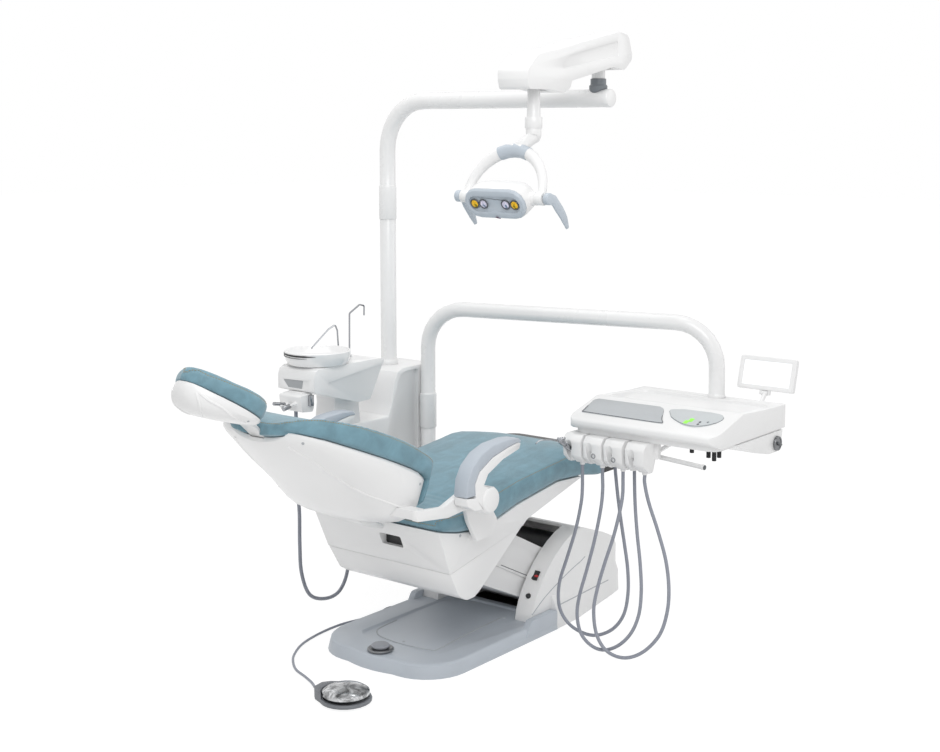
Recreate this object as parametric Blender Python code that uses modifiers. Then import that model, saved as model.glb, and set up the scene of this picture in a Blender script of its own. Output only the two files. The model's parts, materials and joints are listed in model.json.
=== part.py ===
"""Dental unit: treatment chair on a lifting base, with a side column that carries the
rinsing bowl, the lamp pole and the instrument tray. Metres, +Z up, +X towards the feet,
+Y the patient's left. The origin is on the floor under the middle of the base."""

import math

import bmesh
import bpy
from mathutils import Matrix, Vector

GAP = 0.0003
PIN_SIDES = 18
FACET = math.radians(38)

# Base plate and housing
PLATE_HEAD_X = -0.600
PLATE_FOOT_X = 0.066
PLATE_HALF_Y = 0.270
PLATE_HEIGHT = 0.045
PLATE_CORNER = 0.150
PLATE_BOW = 0.014
LIP_HEIGHT = 0.068
LIP_LENGTH = 0.180
RECESS_DEPTH = 0.007
HOUSING_FRONT_X = -0.050
HOUSING_RIDGE_X = 0.250
HOUSING_RIDGE_Z = 0.316
HOUSING_REAR_X = 0.590
HOUSING_HALF_Y = 0.241
HOUSING_REAR_HALF_Y = 0.185
HOUSING_WALL = 0.012
POCKET_HALF_Y = 0.172

# Lift
LIFT_PIVOT = Vector((0.235, 0.0, 0.085))
SEAT_PIVOT = Vector((-0.264, 0.0, 0.339))
ARM_HALF_Y = 0.165
ARM_RADIUS = 0.101
ARM_FOOT_REACH = 0.078
ARM_SEAM = -0.020
PIN_RADIUS = 0.012
GUARD_RADIUS = 0.186
GUARD_WALL = 0.003

# Seat
SEAT_HALF_Y = 0.270
SEAT_CUSHION_HALF_Y = 0.285
SHELL_WALL = 0.014
FOOT_COVER_END_X = 0.500

# Backrest, in its own frame: s runs up the back, t stands out from it
BACK_ORIGIN = Vector((-0.620, 0.0, 0.600))
BACK_ANGLE = math.radians(21.0)
RECLINE_PIVOT = Vector((-0.462, 0.0, 0.582))
HINGE_ARM_Y = 0.318

# Headrest
HEADREST_PIVOT_S = 0.641
HEADREST_PIVOT_T = 0.0887
HEAD_BAR_HALF_Y = 0.030
HEAD_BAR_WALL = 0.012
HEAD_BAR_FOOT_S = 0.340
HEAD_BAR_LINE = [(HEAD_BAR_FOOT_S, 0.0605), (0.495, 0.0605), (0.555, 0.0840),
                 (HEADREST_PIVOT_S, HEADREST_PIVOT_T)]
KNUCKLE_RADIUS = 0.012

# Armrests
ARMREST_Y = 0.357

# Column and bowl
COLUMN_X = (0.080, 0.310)
COLUMN_Y = (0.480, 0.690)
COLUMN_Z = (0.4258, 0.830)
LEDGE_TOP_Z = 0.660
BOWL_CENTRE = Vector((-0.295, 0.515, 0.0))
BOWL_BASE_Z = 0.8965
BOWL_RIM_Z = 0.946
BOWL_RADIUS = 0.1175
CUSPIDOR_Y = (0.424, 0.600)
FILLER_FOOT = Vector((-0.100, 0.545, 0.888))
FILLER_RADIUS = 0.0033
FLUSH_FOOT = Vector((-0.163, 0.536, 0.888))
FLUSH_RADIUS = 0.0030
COLLAR_RADIUS = 0.0072
SUCTION_RADIUS = 0.0065
SUCTION_ROUTE = [(-0.405, 0.5150, 0.7447), (-0.405, 0.5150, 0.700), (-0.405, 0.5190, 0.620),
                 (-0.400, 0.5200, 0.500),
                 (-0.395, 0.5150, 0.380), (-0.405, 0.5050, 0.270), (-0.408, 0.4950, 0.170),
                 (-0.375, 0.4900, 0.085), (-0.300, 0.4900, 0.050), (-0.220, 0.4950, 0.055),
                 (-0.165, 0.5050, 0.115), (-0.150, 0.5150, 0.215), (-0.155, 0.5300, 0.330),
                 (-0.146, 0.5450, 0.440), (-0.140, 0.5500, 0.550),
                 (-0.140, 0.5500, 0.5997)]

# Lamp pole and lamp
POLE = Vector((0.160, 0.585, 0.0))
POLE_RADIUS = 0.030
POLE_JOINT_Z = 1.382
POLE_COLLAR_Z = 1.508
POLE_TOP_Z = 1.820
POLE_BEND = 0.180
POLE_END_Y = -0.410
LAMP_STUB = Vector((0.160, -0.357, 0.0))
STUB_RADIUS = 0.0225
STUB_FOOT_Z = 1.8845
STUB_TOP_Z = 1.925
LAMP_POST = Vector((-0.206, -0.357, 0.0))
LAMP_POST_RADIUS = 0.020
LAMP_ARM_HALF_Y = 0.058
STUB_KNUCKLE_Z = 1.955
POST_KNUCKLE_Z = 1.900
KNUCKLE_HALF_Y = 0.030
POST_COLLAR_Z = (1.720, 1.756)
POST_COLLAR_RADIUS = 0.0275
LAMP_HEAD = Vector((-0.350, -0.345, 1.508))
YOKE_TOP = Vector((-0.286, -0.345, 1.652))
LAMP_TILT = math.radians(25.0)
LAMP_HEAD_HALF_Y = 0.116
LENS_Y = (0.0765, 0.0425, -0.0425, -0.0765)
YOKE_EYE_Y = (0.1292, 0.1577)
TRUNNION_RADIUS = 0.008

# Delivery arm and tray
DELIVERY_POST = Vector((0.225, 0.445, 0.0))
DELIVERY_RADIUS = 0.0278
SLEEVE_RADIUS = 0.0315
SLEEVE_Z = (0.595, 0.725)
DELIVERY_TOP_Z = 1.050
DELIVERY_BEND = 0.150
TRAY_POST = Vector((0.462, -0.655, 0.0))
TRAY_Y = (-0.905, -0.345)
TRAY_REAR_X = 0.497
TRAY_BOTTOM_Z = 0.722
TRAY_LIP_Z = 0.712
TRAY_TOP_Z = 0.800
TRAY_NOSE = (0.004, 0.762)
TRAY_CREST = (0.185, 0.812)
SPINDLE_RADIUS = 0.014
GASKET_HEIGHT = 0.010
DIAL_CENTRE = Vector((0.427, -0.905, 0.676))
VIEWER_HINGE = Vector((0.508, -0.815, 0.824))
VIEWER_TILT = math.radians(16.0)
HOLDER_Y = (-0.345, -0.425, -0.505, -0.588)
HOLDER_WIDTH = 0.070
HOLDER_FOOT_Z = 0.613
HOSE_RADIUS = 0.00575
HOSE_TOP_Z = TRAY_LIP_Z - GAP
HOSE_ROUTES = (
    [(0.030, -0.392, HOLDER_FOOT_Z - 0.0083), (0.030, -0.392, 0.575), (0.029, -0.393, 0.530),
     (0.027, -0.390, 0.475),
     (0.025, -0.370, 0.380), (0.023, -0.338, 0.280), (0.020, -0.308, 0.185),
     (0.020, -0.306, 0.110), (0.020, -0.332, 0.062), (0.020, -0.382, 0.034),
     (0.022, -0.450, 0.030), (0.028, -0.515, 0.062), (0.034, -0.556, 0.118),
     (0.042, -0.568, 0.190), (0.052, -0.560, 0.270), (0.062, -0.540, 0.350),
     (0.074, -0.515, 0.440), (0.083, -0.495, 0.530), (0.088, -0.482, 0.620),
     (0.088, -0.480, HOSE_TOP_Z)],
    [(0.030, -0.472, HOLDER_FOOT_Z - 0.0083), (0.030, -0.472, 0.578), (0.024, -0.477, 0.530),
     (0.012, -0.478, 0.470),
     (-0.004, -0.466, 0.370), (-0.018, -0.446, 0.270), (-0.030, -0.424, 0.175),
     (-0.040, -0.422, 0.110), (-0.048, -0.444, 0.054), (-0.053, -0.490, 0.024),
     (-0.054, -0.540, 0.022), (-0.050, -0.592, 0.048), (-0.042, -0.634, 0.096),
     (-0.028, -0.654, 0.158), (-0.008, -0.650, 0.230), (0.016, -0.630, 0.310),
     (0.044, -0.600, 0.400), (0.068, -0.576, 0.490), (0.084, -0.562, 0.590),
     (0.088, -0.558, HOSE_TOP_Z)],
    [(0.030, -0.552, HOLDER_FOOT_Z - 0.0083), (0.030, -0.552, 0.578), (0.021, -0.557, 0.530),
     (0.008, -0.556, 0.480),
     (-0.008, -0.541, 0.390), (-0.022, -0.517, 0.300), (-0.033, -0.497, 0.215),
     (-0.048, -0.493, 0.145), (-0.062, -0.514, 0.072), (-0.071, -0.560, 0.028),
     (-0.071, -0.626, 0.020), (-0.062, -0.690, 0.050), (-0.048, -0.742, 0.112),
     (-0.030, -0.759, 0.182), (-0.010, -0.754, 0.255), (0.010, -0.730, 0.340),
     (0.024, -0.690, 0.430), (0.029, -0.652, 0.515),
     (0.030, -0.635, 0.576), (0.030, -0.635, HOLDER_FOOT_Z - 0.0086)],
)

# Foot control
FOOT_CENTRE = Vector((-0.848, -0.131, 0.0))
FOOT_DISC_RADIUS = 0.073
FOOT_STEM_RADIUS = 0.010
BALL_RADIUS = 0.0042
RING_WEB_TOP = 0.0065
CORD_RADIUS = 0.0042
CORD_GLAND = Vector((-0.130, 0.292, 0.012))
CORD_ROUTE = [CORD_GLAND + Vector((0, GAP, 0)), (-0.131, 0.312, 0.0110), (-0.150, 0.326, 0.0080),
              (-0.200, 0.322, 0.0050), (-0.275, 0.325, 0.0046), (-0.370, 0.345, 0.0046),
              (-0.480, 0.340, 0.0046), (-0.585, 0.315, 0.0046), (-0.670, 0.268, 0.0046),
              (-0.722, 0.222, 0.0046), (-0.765, 0.165, 0.0046), (-0.790, 0.100, 0.0046),
              (-0.812, 0.050, 0.0050), (-0.838, 0.010, 0.0080), (-0.8485, -0.010, 0.0115),
              (-0.8485, -0.0255, 0.0120)]

WHITE = ("white_shell", (0.86, 0.87, 0.88), 0.32, 0.0)
GREY = ("grey_base", (0.35, 0.38, 0.41), 0.38, 0.0)
TEAL = ("teal_leather", (0.18, 0.36, 0.42), 0.55, 0.0)
PAD = ("grey_pad", (0.50, 0.55, 0.60), 0.45, 0.0)
BLACK = ("black_trim", (0.02, 0.02, 0.02), 0.45, 0.0)
STEEL = ("bright_steel", (0.75, 0.76, 0.77), 0.15, 1.0)
DARK = ("dark_metal", (0.20, 0.21, 0.22), 0.35, 0.8)
HOSE = ("grey_hose", (0.30, 0.32, 0.36), 0.40, 0.0)
CERAMIC = ("white_ceramic", (0.88, 0.89, 0.90), 0.10, 0.0)
LENS = ("lamp_lens", (0.85, 0.80, 0.60), 0.05, 0.0)
LABEL = ("silver_label", (0.50, 0.52, 0.54), 0.30, 0.7)
PANEL = ("key_panel", (0.45, 0.48, 0.50), 0.40, 0.0)

UNIT = bpy.data.collections.new("dental_unit")
CUTTERS = bpy.data.collections.new("cutters")
BODIES = {}
MATERIALS = {}


def clear_scene():
    for obj in list(bpy.data.objects):
        bpy.data.objects.remove(obj, do_unlink=True)
    bpy.context.scene.collection.children.link(UNIT)
    bpy.context.scene.collection.children.link(CUTTERS)


def finish(spec):
    name, colour, roughness, metallic = spec
    if name not in MATERIALS:
        material = bpy.data.materials.new(name)
        material.use_nodes = True
        shader = material.node_tree.nodes["Principled BSDF"]
        shader.inputs["Base Color"].default_value = (*colour, 1.0)
        shader.inputs["Roughness"].default_value = roughness
        shader.inputs["Metallic"].default_value = metallic
        MATERIALS[name] = material
    return MATERIALS[name]


def body(name, pivot, parent=None):
    """An empty on the joint's axis, which carries the pieces of one moving body."""
    empty = bpy.data.objects.new(name + "_axis", None)
    UNIT.objects.link(empty)
    origin = BODIES[parent][1] if parent else Vector((0, 0, 0))
    empty.location = Vector(pivot) - origin
    if parent:
        empty.parent = BODIES[parent][0]
    BODIES[name] = (empty, Vector(pivot))


def add(name, mesh, spec, on):
    """A piece modelled in world coordinates, hung on its body's empty."""
    empty, pivot = BODIES[on]
    mesh.transform(Matrix.Translation(-pivot))
    obj = bpy.data.objects.new(name, mesh)
    obj.data.materials.clear()
    obj.data.materials.append(finish(spec))
    obj.parent = empty
    UNIT.objects.link(obj)
    mesh.shade_smooth()
    mesh.set_sharp_from_angle(angle=FACET)
    return obj


def to_mesh(bm, name="piece"):
    bmesh.ops.recalc_face_normals(bm, faces=bm.faces)
    mesh = bpy.data.meshes.new(name)
    bm.to_mesh(mesh)
    bm.free()
    return mesh


def evaluated(obj):
    """The object's mesh with its modifiers or its curve bevel, welded, in world space."""
    bpy.context.view_layer.update()
    graph = bpy.context.evaluated_depsgraph_get()
    mesh = bpy.data.meshes.new_from_object(obj.evaluated_get(graph))
    mesh.transform(obj.matrix_world)
    bm = bmesh.new()
    bm.from_mesh(mesh)
    bmesh.ops.remove_doubles(bm, verts=bm.verts, dist=0.00002)
    bpy.data.meshes.remove(mesh)
    bpy.data.objects.remove(obj, do_unlink=True)
    return to_mesh(bm)


def helper(mesh):
    obj = bpy.data.objects.new("helper", mesh)
    CUTTERS.objects.link(obj)
    obj.hide_render = True
    obj.display_type = "WIRE"
    return obj


def combine(mesh, others, operation):
    """Boolean of world-space meshes, one after another."""
    for other in others:
        base = helper(mesh)
        tool = helper(other)
        modifier = base.modifiers.new("combine", "BOOLEAN")
        modifier.object = tool
        modifier.operation = operation
        modifier.solver = "EXACT"
        mesh = evaluated(base)
        bpy.data.objects.remove(tool, do_unlink=True)
    return mesh


def cut(mesh, *others):
    return combine(mesh, others, "DIFFERENCE")


def join(mesh, *others):
    return combine(mesh, others, "UNION")


def common(mesh, *others):
    return combine(mesh, others, "INTERSECT")


def bevelled(mesh, width, segments=2, angle=40.0):
    obj = helper(mesh)
    modifier = obj.modifiers.new("edges", "BEVEL")
    modifier.width = width
    modifier.segments = segments
    modifier.limit_method = "ANGLE"
    modifier.angle_limit = math.radians(angle)
    modifier.use_clamp_overlap = True
    return evaluated(obj)


def box(low, high, radius=0.0, segments=2):
    low, high = Vector(low), Vector(high)
    bm = bmesh.new()
    bmesh.ops.create_cube(bm, size=1.0)
    size = high - low
    bmesh.ops.scale(bm, vec=size, verts=bm.verts)
    bmesh.ops.translate(bm, vec=(low + high) / 2, verts=bm.verts)
    mesh = to_mesh(bm)
    return bevelled(mesh, radius, segments) if radius else mesh


def turn_to(axis):
    """Rotation that takes +Z to the given direction."""
    return Vector((0, 0, 1)).rotation_difference(Vector(axis)).to_matrix().to_4x4()


def cylinder(start, end, radius, sides=18, end_radius=None):
    start, end = Vector(start), Vector(end)
    bm = bmesh.new()
    bmesh.ops.create_cone(bm, cap_ends=True, segments=sides, radius1=radius,
                          radius2=radius if end_radius is None else end_radius,
                          depth=(end - start).length)
    mesh = to_mesh(bm)
    mesh.transform(Matrix.Translation((start + end) / 2) @ turn_to(end - start))
    return mesh


def turned(profile, centre, axis=(0, 0, 1), steps=20):
    """Screw of a (radius, height) profile, listed from top to bottom down its outer side."""
    bm = bmesh.new()
    verts = [bm.verts.new((r, 0.0, h)) for r, h in profile]
    for a, b in zip(verts, verts[1:]):
        bm.edges.new((a, b))
    mesh = bpy.data.meshes.new("profile")
    bm.to_mesh(mesh)
    bm.free()
    obj = helper(mesh)
    modifier = obj.modifiers.new("turn", "SCREW")
    modifier.steps = steps
    modifier.render_steps = steps
    modifier.use_merge_vertices = True
    modifier.merge_threshold = 0.0001
    mesh = evaluated(obj)
    mesh.transform(Matrix.Translation(Vector(centre)) @ turn_to(axis))
    return mesh


def rounded(points, radii, steps=2):
    """The polygon with an arc at each corner."""
    count = len(points)
    radii = radii if isinstance(radii, (list, tuple)) else [radii] * count
    result = []
    for i, (x, y) in enumerate(points):
        here = Vector((x, y))
        to_last = (Vector(points[i - 1]) - here).normalized()
        to_next = (Vector(points[(i + 1) % count]) - here).normalized()
        half = to_last.angle(to_next) / 2
        if radii[i] <= 0 or half > 1.5:
            result.append((x, y))
            continue
        reach = radii[i] / math.tan(half)
        centre = here + (to_last + to_next).normalized() * (radii[i] / math.sin(half))
        first = here + to_last * reach - centre
        last = here + to_next * reach - centre
        sweep = first.angle_signed(last)
        for k in range(steps + 1):
            arm = first.copy()
            arm.rotate(Matrix.Rotation(-sweep * k / steps, 2))
            result.append(tuple(centre + arm))
    return result


def slab(outline, low, high, plane="xy"):
    """A flat outline pulled to a thickness: plane xy stands along Z, xz along Y, yz along X."""
    curve = bpy.data.curves.new("outline", "CURVE")
    curve.dimensions = "2D"
    curve.fill_mode = "BOTH"
    curve.extrude = (high - low) / 2
    spline = curve.splines.new("POLY")
    spline.points.add(len(outline) - 1)
    for point, (a, b) in zip(spline.points, outline):
        point.co = (a, b, 0.0, 1.0)
    spline.use_cyclic_u = True
    obj = bpy.data.objects.new("outline", curve)
    CUTTERS.objects.link(obj)
    middle = (low + high) / 2
    if plane == "xy":
        obj.matrix_world = Matrix.Translation((0, 0, middle))
    elif plane == "xz":
        obj.matrix_world = Matrix(((1, 0, 0, 0), (0, 0, -1, middle), (0, 1, 0, 0), (0, 0, 0, 1)))
    else:
        obj.matrix_world = Matrix(((0, 0, 1, middle), (1, 0, 0, 0), (0, 1, 0, 0), (0, 0, 0, 1)))
    return evaluated(obj)


def loft(rings, closed=True):
    """Skin over rings of equal point counts, with flat ends."""
    bm = bmesh.new()
    rows = [[bm.verts.new(p) for p in ring] for ring in rings]
    count = len(rings[0])
    for a, b in zip(rows, rows[1:]):
        for i in range(count):
            j = (i + 1) % count
            bm.faces.new((a[i], a[j], b[j], b[i]))
    if closed:
        bm.faces.new(rows[0])
        bm.faces.new(list(reversed(rows[-1])))
    return to_mesh(bm)


def curve_through(points, count):
    """Catmull-Rom curve through the route's points, sampled at equal steps of its index."""
    points = [Vector(p) for p in points]
    ends = [2 * points[0] - points[1]] + points + [2 * points[-1] - points[-2]]
    result = []
    for k in range(count):
        u = k * (len(points) - 1) / (count - 1)
        i = min(int(u), len(points) - 2)
        f = u - i
        a, b, c, d = ends[i:i + 4]
        result.append(0.5 * (2 * b + (c - a) * f + (2 * a - 5 * b + 4 * c - d) * f * f
                             + (3 * b - a - 3 * c + d) * f ** 3))
    return result


def bent_path(points, radius, steps=8):
    """Straight runs joined by arcs of one radius."""
    points = [Vector(p) for p in points]
    path = [points[0]]
    for before, corner, after in zip(points, points[1:], points[2:]):
        back = (before - corner).normalized()
        ahead = (after - corner).normalized()
        half = back.angle(ahead) / 2
        reach = radius / math.tan(half)
        centre = corner + (back + ahead).normalized() * (radius / math.sin(half))
        first = corner + back * reach - centre
        axis = first.cross(corner + ahead * reach - centre).normalized()
        sweep = math.pi - 2 * half
        for k in range(steps + 1):
            path.append(centre + Matrix.Rotation(sweep * k / steps, 3, axis) @ first)
    path.append(points[-1])
    return path


def tube(path, radius, resolution=4):
    """A round bar along a path, as a bevelled curve with filled caps."""
    curve = bpy.data.curves.new("tube", "CURVE")
    curve.dimensions = "3D"
    curve.bevel_depth = radius
    curve.bevel_resolution = resolution
    curve.use_fill_caps = True
    spline = curve.splines.new("POLY")
    spline.points.add(len(path) - 1)
    for point, place in zip(spline.points, path):
        point.co = (*place, 1.0)
    obj = bpy.data.objects.new("tube", curve)
    CUTTERS.objects.link(obj)
    return evaluated(obj)


def swept(path, sizes, side, sides=12):
    """Skin of ovals along a path: sizes holds each (half width along side, half height)."""
    side = Vector(side).normalized()
    rings = []
    for i, place in enumerate(path):
        along = (path[min(i + 1, len(path) - 1)] - path[max(i - 1, 0)]).normalized()
        across = (side - along * side.dot(along)).normalized()
        up = along.cross(across)
        u = i / (len(path) - 1) * (len(sizes) - 1)
        k = min(int(u), len(sizes) - 2)
        w = sizes[k][0] + (sizes[k + 1][0] - sizes[k][0]) * (u - k)
        h = sizes[k][1] + (sizes[k + 1][1] - sizes[k][1]) * (u - k)
        rings.append([place + across * (w * math.cos(math.tau * n / sides))
                      + up * (h * math.sin(math.tau * n / sides)) for n in range(sides)])
    return loft(rings)


def mirrored_y(outline):
    """Half outline of (x, y) with y above 0, head to foot, closed by its mirror image."""
    return outline + [(x, -y) for x, y in reversed(outline)]


def between(table, x):
    """Value of a (position, value) table at x, on a smooth curve."""
    if x <= table[0][0]:
        return table[0][1]
    for (x0, y0), (x1, y1) in zip(table, table[1:]):
        if x <= x1:
            return y0 + (y1 - y0) * (x - x0) / (x1 - x0)
    return table[-1][1]


def back_point(s, y, t):
    """A place on the backrest, in world coordinates."""
    up = Vector((-math.cos(BACK_ANGLE), 0, math.sin(BACK_ANGLE)))
    out = Vector((math.sin(BACK_ANGLE), 0, math.cos(BACK_ANGLE)))
    return BACK_ORIGIN + up * s + out * t + Vector((0, y, 0))


def make_bodies():
    body("base", (0, 0, 0))
    body("joystick_ring", (-0.553, -0.006, PLATE_HEIGHT), "base")
    body("joystick", (-0.553, -0.006, PLATE_HEIGHT + RING_WEB_TOP), "joystick_ring")
    body("power_switch", (0.022, -0.208, 0.190), "base")
    body("foot_disc", FOOT_CENTRE, "base")
    body("lift_arm", LIFT_PIVOT, "base")
    body("seat", SEAT_PIVOT, "lift_arm")
    body("backrest", RECLINE_PIVOT, "seat")
    body("headrest_bar", back_point(0.555, 0, 0.084), "backrest")
    body("headrest", back_point(HEADREST_PIVOT_S, 0, HEADREST_PIVOT_T), "headrest_bar")
    body("armrest_left", RECLINE_PIVOT + Vector((0, ARMREST_Y, 0)), "seat")
    body("armrest_right", RECLINE_PIVOT + Vector((0, -ARMREST_Y, 0)), "seat")
    body("rinse_bowl", BOWL_CENTRE + Vector((0, 0, BOWL_BASE_Z)), "seat")
    body("lamp_pole", POLE + Vector((0, 0, POLE_JOINT_Z)), "seat")
    body("lamp_stub", LAMP_STUB + Vector((0, 0, STUB_FOOT_Z)), "lamp_pole")
    body("lamp_arm", LAMP_STUB + Vector((0, 0, STUB_KNUCKLE_Z)), "lamp_stub")
    body("lamp_post", LAMP_POST + Vector((0, 0, POST_KNUCKLE_Z)), "lamp_arm")
    body("lamp_yoke", LAMP_POST + Vector((0, 0, POST_COLLAR_Z[0])), "lamp_post")
    body("lamp_head", LAMP_HEAD, "lamp_yoke")
    body("delivery_arm", DELIVERY_POST + Vector((0, 0, SLEEVE_Z[0])), "seat")
    body("tray", TRAY_POST + Vector((0, 0, TRAY_TOP_Z)), "delivery_arm")
    body("film_viewer", VIEWER_HINGE, "tray")
    body("brake_dial", DIAL_CENTRE, "tray")


def plate_outline(inset):
    """Bowed head end with round corners, straight sides."""
    head = [(PLATE_HEAD_X + inset - PLATE_BOW * math.cos(k * math.pi / 8), 0.095 * k / 4)
            for k in range(0, 5)]
    side = PLATE_HALF_Y - inset
    corner = rounded([(PLATE_HEAD_X + inset, 0.05), (PLATE_HEAD_X + inset, side), (PLATE_FOOT_X, side)],
                     [0, PLATE_CORNER, 0], 8)[1:-1]
    half = [p for p in head if p[1] < side - PLATE_CORNER] + corner + [(PLATE_FOOT_X, side)]
    return mirrored_y(half[1:])


def base_plate():
    """Floor plate with a drafted rim, a sunk panel for the feet of staff and two side lips."""
    draft = 0.007
    rings = []
    for inset, z in ((0.0, 0.0), (draft, PLATE_HEIGHT - 0.006), (draft + 0.006, PLATE_HEIGHT)):
        rings.append([(x, y, z) for x, y in plate_outline(inset)])
    plate = loft(rings)
    lips = []
    for side in (-1, 1):
        low_y, high_y = sorted((side * (HOUSING_HALF_Y + GAP * 4), side * (PLATE_HALF_Y - 0.002)))
        lip = slab(rounded([(PLATE_FOOT_X - LIP_LENGTH, 0.02), (PLATE_FOOT_X, 0.02),
                            (PLATE_FOOT_X, LIP_HEIGHT), (PLATE_FOOT_X - LIP_LENGTH + 0.03, LIP_HEIGHT)],
                           [0, 0, 0.006, 0.02], 2), low_y, high_y, "xz")
        lips.append(lip)
    plate = join(plate, *lips)
    panel = rounded([(PLATE_HEAD_X + 0.125, -0.172), (0.04, -0.172), (0.04, 0.172),
                     (PLATE_HEAD_X + 0.125, 0.172)], [0.04, 0, 0, 0.04], 3)
    inner = [(x * 0.985 - 0.004, y * 0.955) for x, y in panel]
    recess = loft([[(x, y, PLATE_HEIGHT - RECESS_DEPTH) for x, y in inner],
                   [(x, y, PLATE_HEIGHT + 0.001) for x, y in panel]])
    plate = cut(plate, recess)
    gland = cylinder(CORD_GLAND - Vector((0, 0.030, 0)), CORD_GLAND, 0.0085, 14)
    ball = turned([(0, BALL_RADIUS), (0.5 * BALL_RADIUS, 0.866 * BALL_RADIUS),
                   (0.866 * BALL_RADIUS, 0.5 * BALL_RADIUS), (BALL_RADIUS, 0),
                   (BALL_RADIUS, -0.002), (0, -0.002)], BODIES["joystick_ring"][1], (0, 0, 1), 12)
    add("base_plate", join(plate, gland, ball), GREY, "base")


def housing_front(offset=0.0, steps=10):
    """The cheeks' front edge, a flattened quarter curve from the plate up to the ridge."""
    across = HOUSING_RIDGE_X - HOUSING_FRONT_X - offset
    height = HOUSING_RIDGE_Z - PLATE_HEIGHT - offset
    points = []
    for k in range(steps + 1):
        angle = math.pi / 2 * k / steps
        points.append((HOUSING_RIDGE_X - across * math.cos(angle) ** 1.25,
                       PLATE_HEIGHT + GAP + height * math.sin(angle) ** 1.25))
    return points


def base_housing():
    """White housing of the lift: two cheeks, a roof and a rear wall round the arm's pocket."""
    rear = [(0.440, 0.250), (0.530, 0.212), (HOUSING_REAR_X - 0.012, 0.150), (HOUSING_REAR_X, 0.0),
            (PLATE_FOOT_X + GAP, 0.0), (PLATE_FOOT_X + GAP, PLATE_HEIGHT + GAP)]
    side = slab(housing_front() + rear, -0.30, 0.30, "xz")
    top = HOUSING_HALF_Y
    plan = mirrored_y([(HOUSING_FRONT_X - 0.02, top), (0.24, top)]
                      + rounded([(0.24, top), (HOUSING_REAR_X, HOUSING_REAR_HALF_Y),
                                 (HOUSING_REAR_X, 0.05)], [0, 0.055, 0], 5)[1:-1])
    plan = slab(plan, -0.01, 0.40)
    housing = common(side, plan)
    skirt_half = [(PLATE_FOOT_X + GAP, PLATE_HALF_Y - 0.002), (0.20, PLATE_HALF_Y - 0.008),
                  (0.50, HOUSING_REAR_HALF_Y + 0.027)]
    skirt_half += rounded([(0.50, HOUSING_REAR_HALF_Y + 0.027),
                           (HOUSING_REAR_X + 0.004, HOUSING_REAR_HALF_Y + 0.008),
                           (HOUSING_REAR_X + 0.004, 0.05)], [0, 0.05, 0], 5)[1:-1]
    low = [(x, y, 0.0) for x, y in mirrored_y(skirt_half)]
    high = [(x, y * 0.985, 0.072) for x, y in mirrored_y(skirt_half)]
    top_ring = [(x, y * 0.91, 0.112) for x, y in mirrored_y(skirt_half)]
    housing = join(housing, loft([low, high, top_ring]))
    inner = housing_front(HOUSING_WALL)[4:]
    pocket = slab([(HOUSING_FRONT_X - 0.05, -0.02), (HOUSING_FRONT_X - 0.05, 0.275), (0.112, 0.275),
                   (0.20, 0.400), (HOUSING_RIDGE_X - 0.012, 0.400)]
                  + [(HOUSING_RIDGE_X - 0.012, inner[-1][1]), (HOUSING_RIDGE_X, inner[-1][1]),
                     (0.430, 0.236), (0.500, 0.200), (0.545, 0.150), (0.555, -0.02)],
                  -POCKET_HALF_Y, POCKET_HALF_Y, "xz")
    housing = cut(housing, pocket)
    housing = bevelled(housing, 0.007, 2, 50)
    pin = cylinder((LIFT_PIVOT.x, -0.205, LIFT_PIVOT.z), (LIFT_PIVOT.x, 0.205, LIFT_PIVOT.z),
                   PIN_RADIUS, PIN_SIDES)
    housing = join(cut(housing, switch_block(0.0006, 0.0125)), pin)
    add("base_housing", housing, WHITE, "base")


def switch_block(grow, depth):
    """The rocker's space in the near cheek's front band."""
    mesh = box((-0.017 - grow, -0.0095 - grow, -depth), (0.017 + grow, 0.0095 + grow, 0.004), 0.0)
    centre = BODIES["power_switch"][1]
    lean = Matrix.Rotation(math.radians(-47), 4, "Y")
    mesh.transform(Matrix.Translation(centre) @ lean)
    return mesh


def power_switch():
    """Mains rocker: two faces that meet in a shallow valley."""
    centre = BODIES["power_switch"][1]
    profile = [(-0.0165, -0.0085), (0.0165, -0.0085), (0.0165, 0.0035), (0.0, 0.0012), (-0.0165, 0.0062)]
    mesh = slab(profile, -0.0098, 0.0098, "xz")
    mesh.transform(Matrix.Translation(centre) @ Matrix.Rotation(math.radians(-47), 4, "Y"))
    add("power_switch", mesh, ("switch_red", (0.55, 0.02, 0.02), 0.3, 0.0), "power_switch")


def fuse_cap():
    """Round cap of the fuse holder, seated on the cheek's front band."""
    lean = Vector((-0.86, 0.0, 0.50))
    place = Vector((-0.0215, -0.208, 0.128)) - 0.0008 * lean
    mesh = turned([(0.0, 0.010), (0.0055, 0.010), (0.0065, 0.009), (0.0085, 0.003), (0.0095, 0.0024),
                   (0.0095, 0.0), (0.0, 0.0)], place, lean, 12)
    add("fuse_cap", mesh, BLACK, "base")


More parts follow.
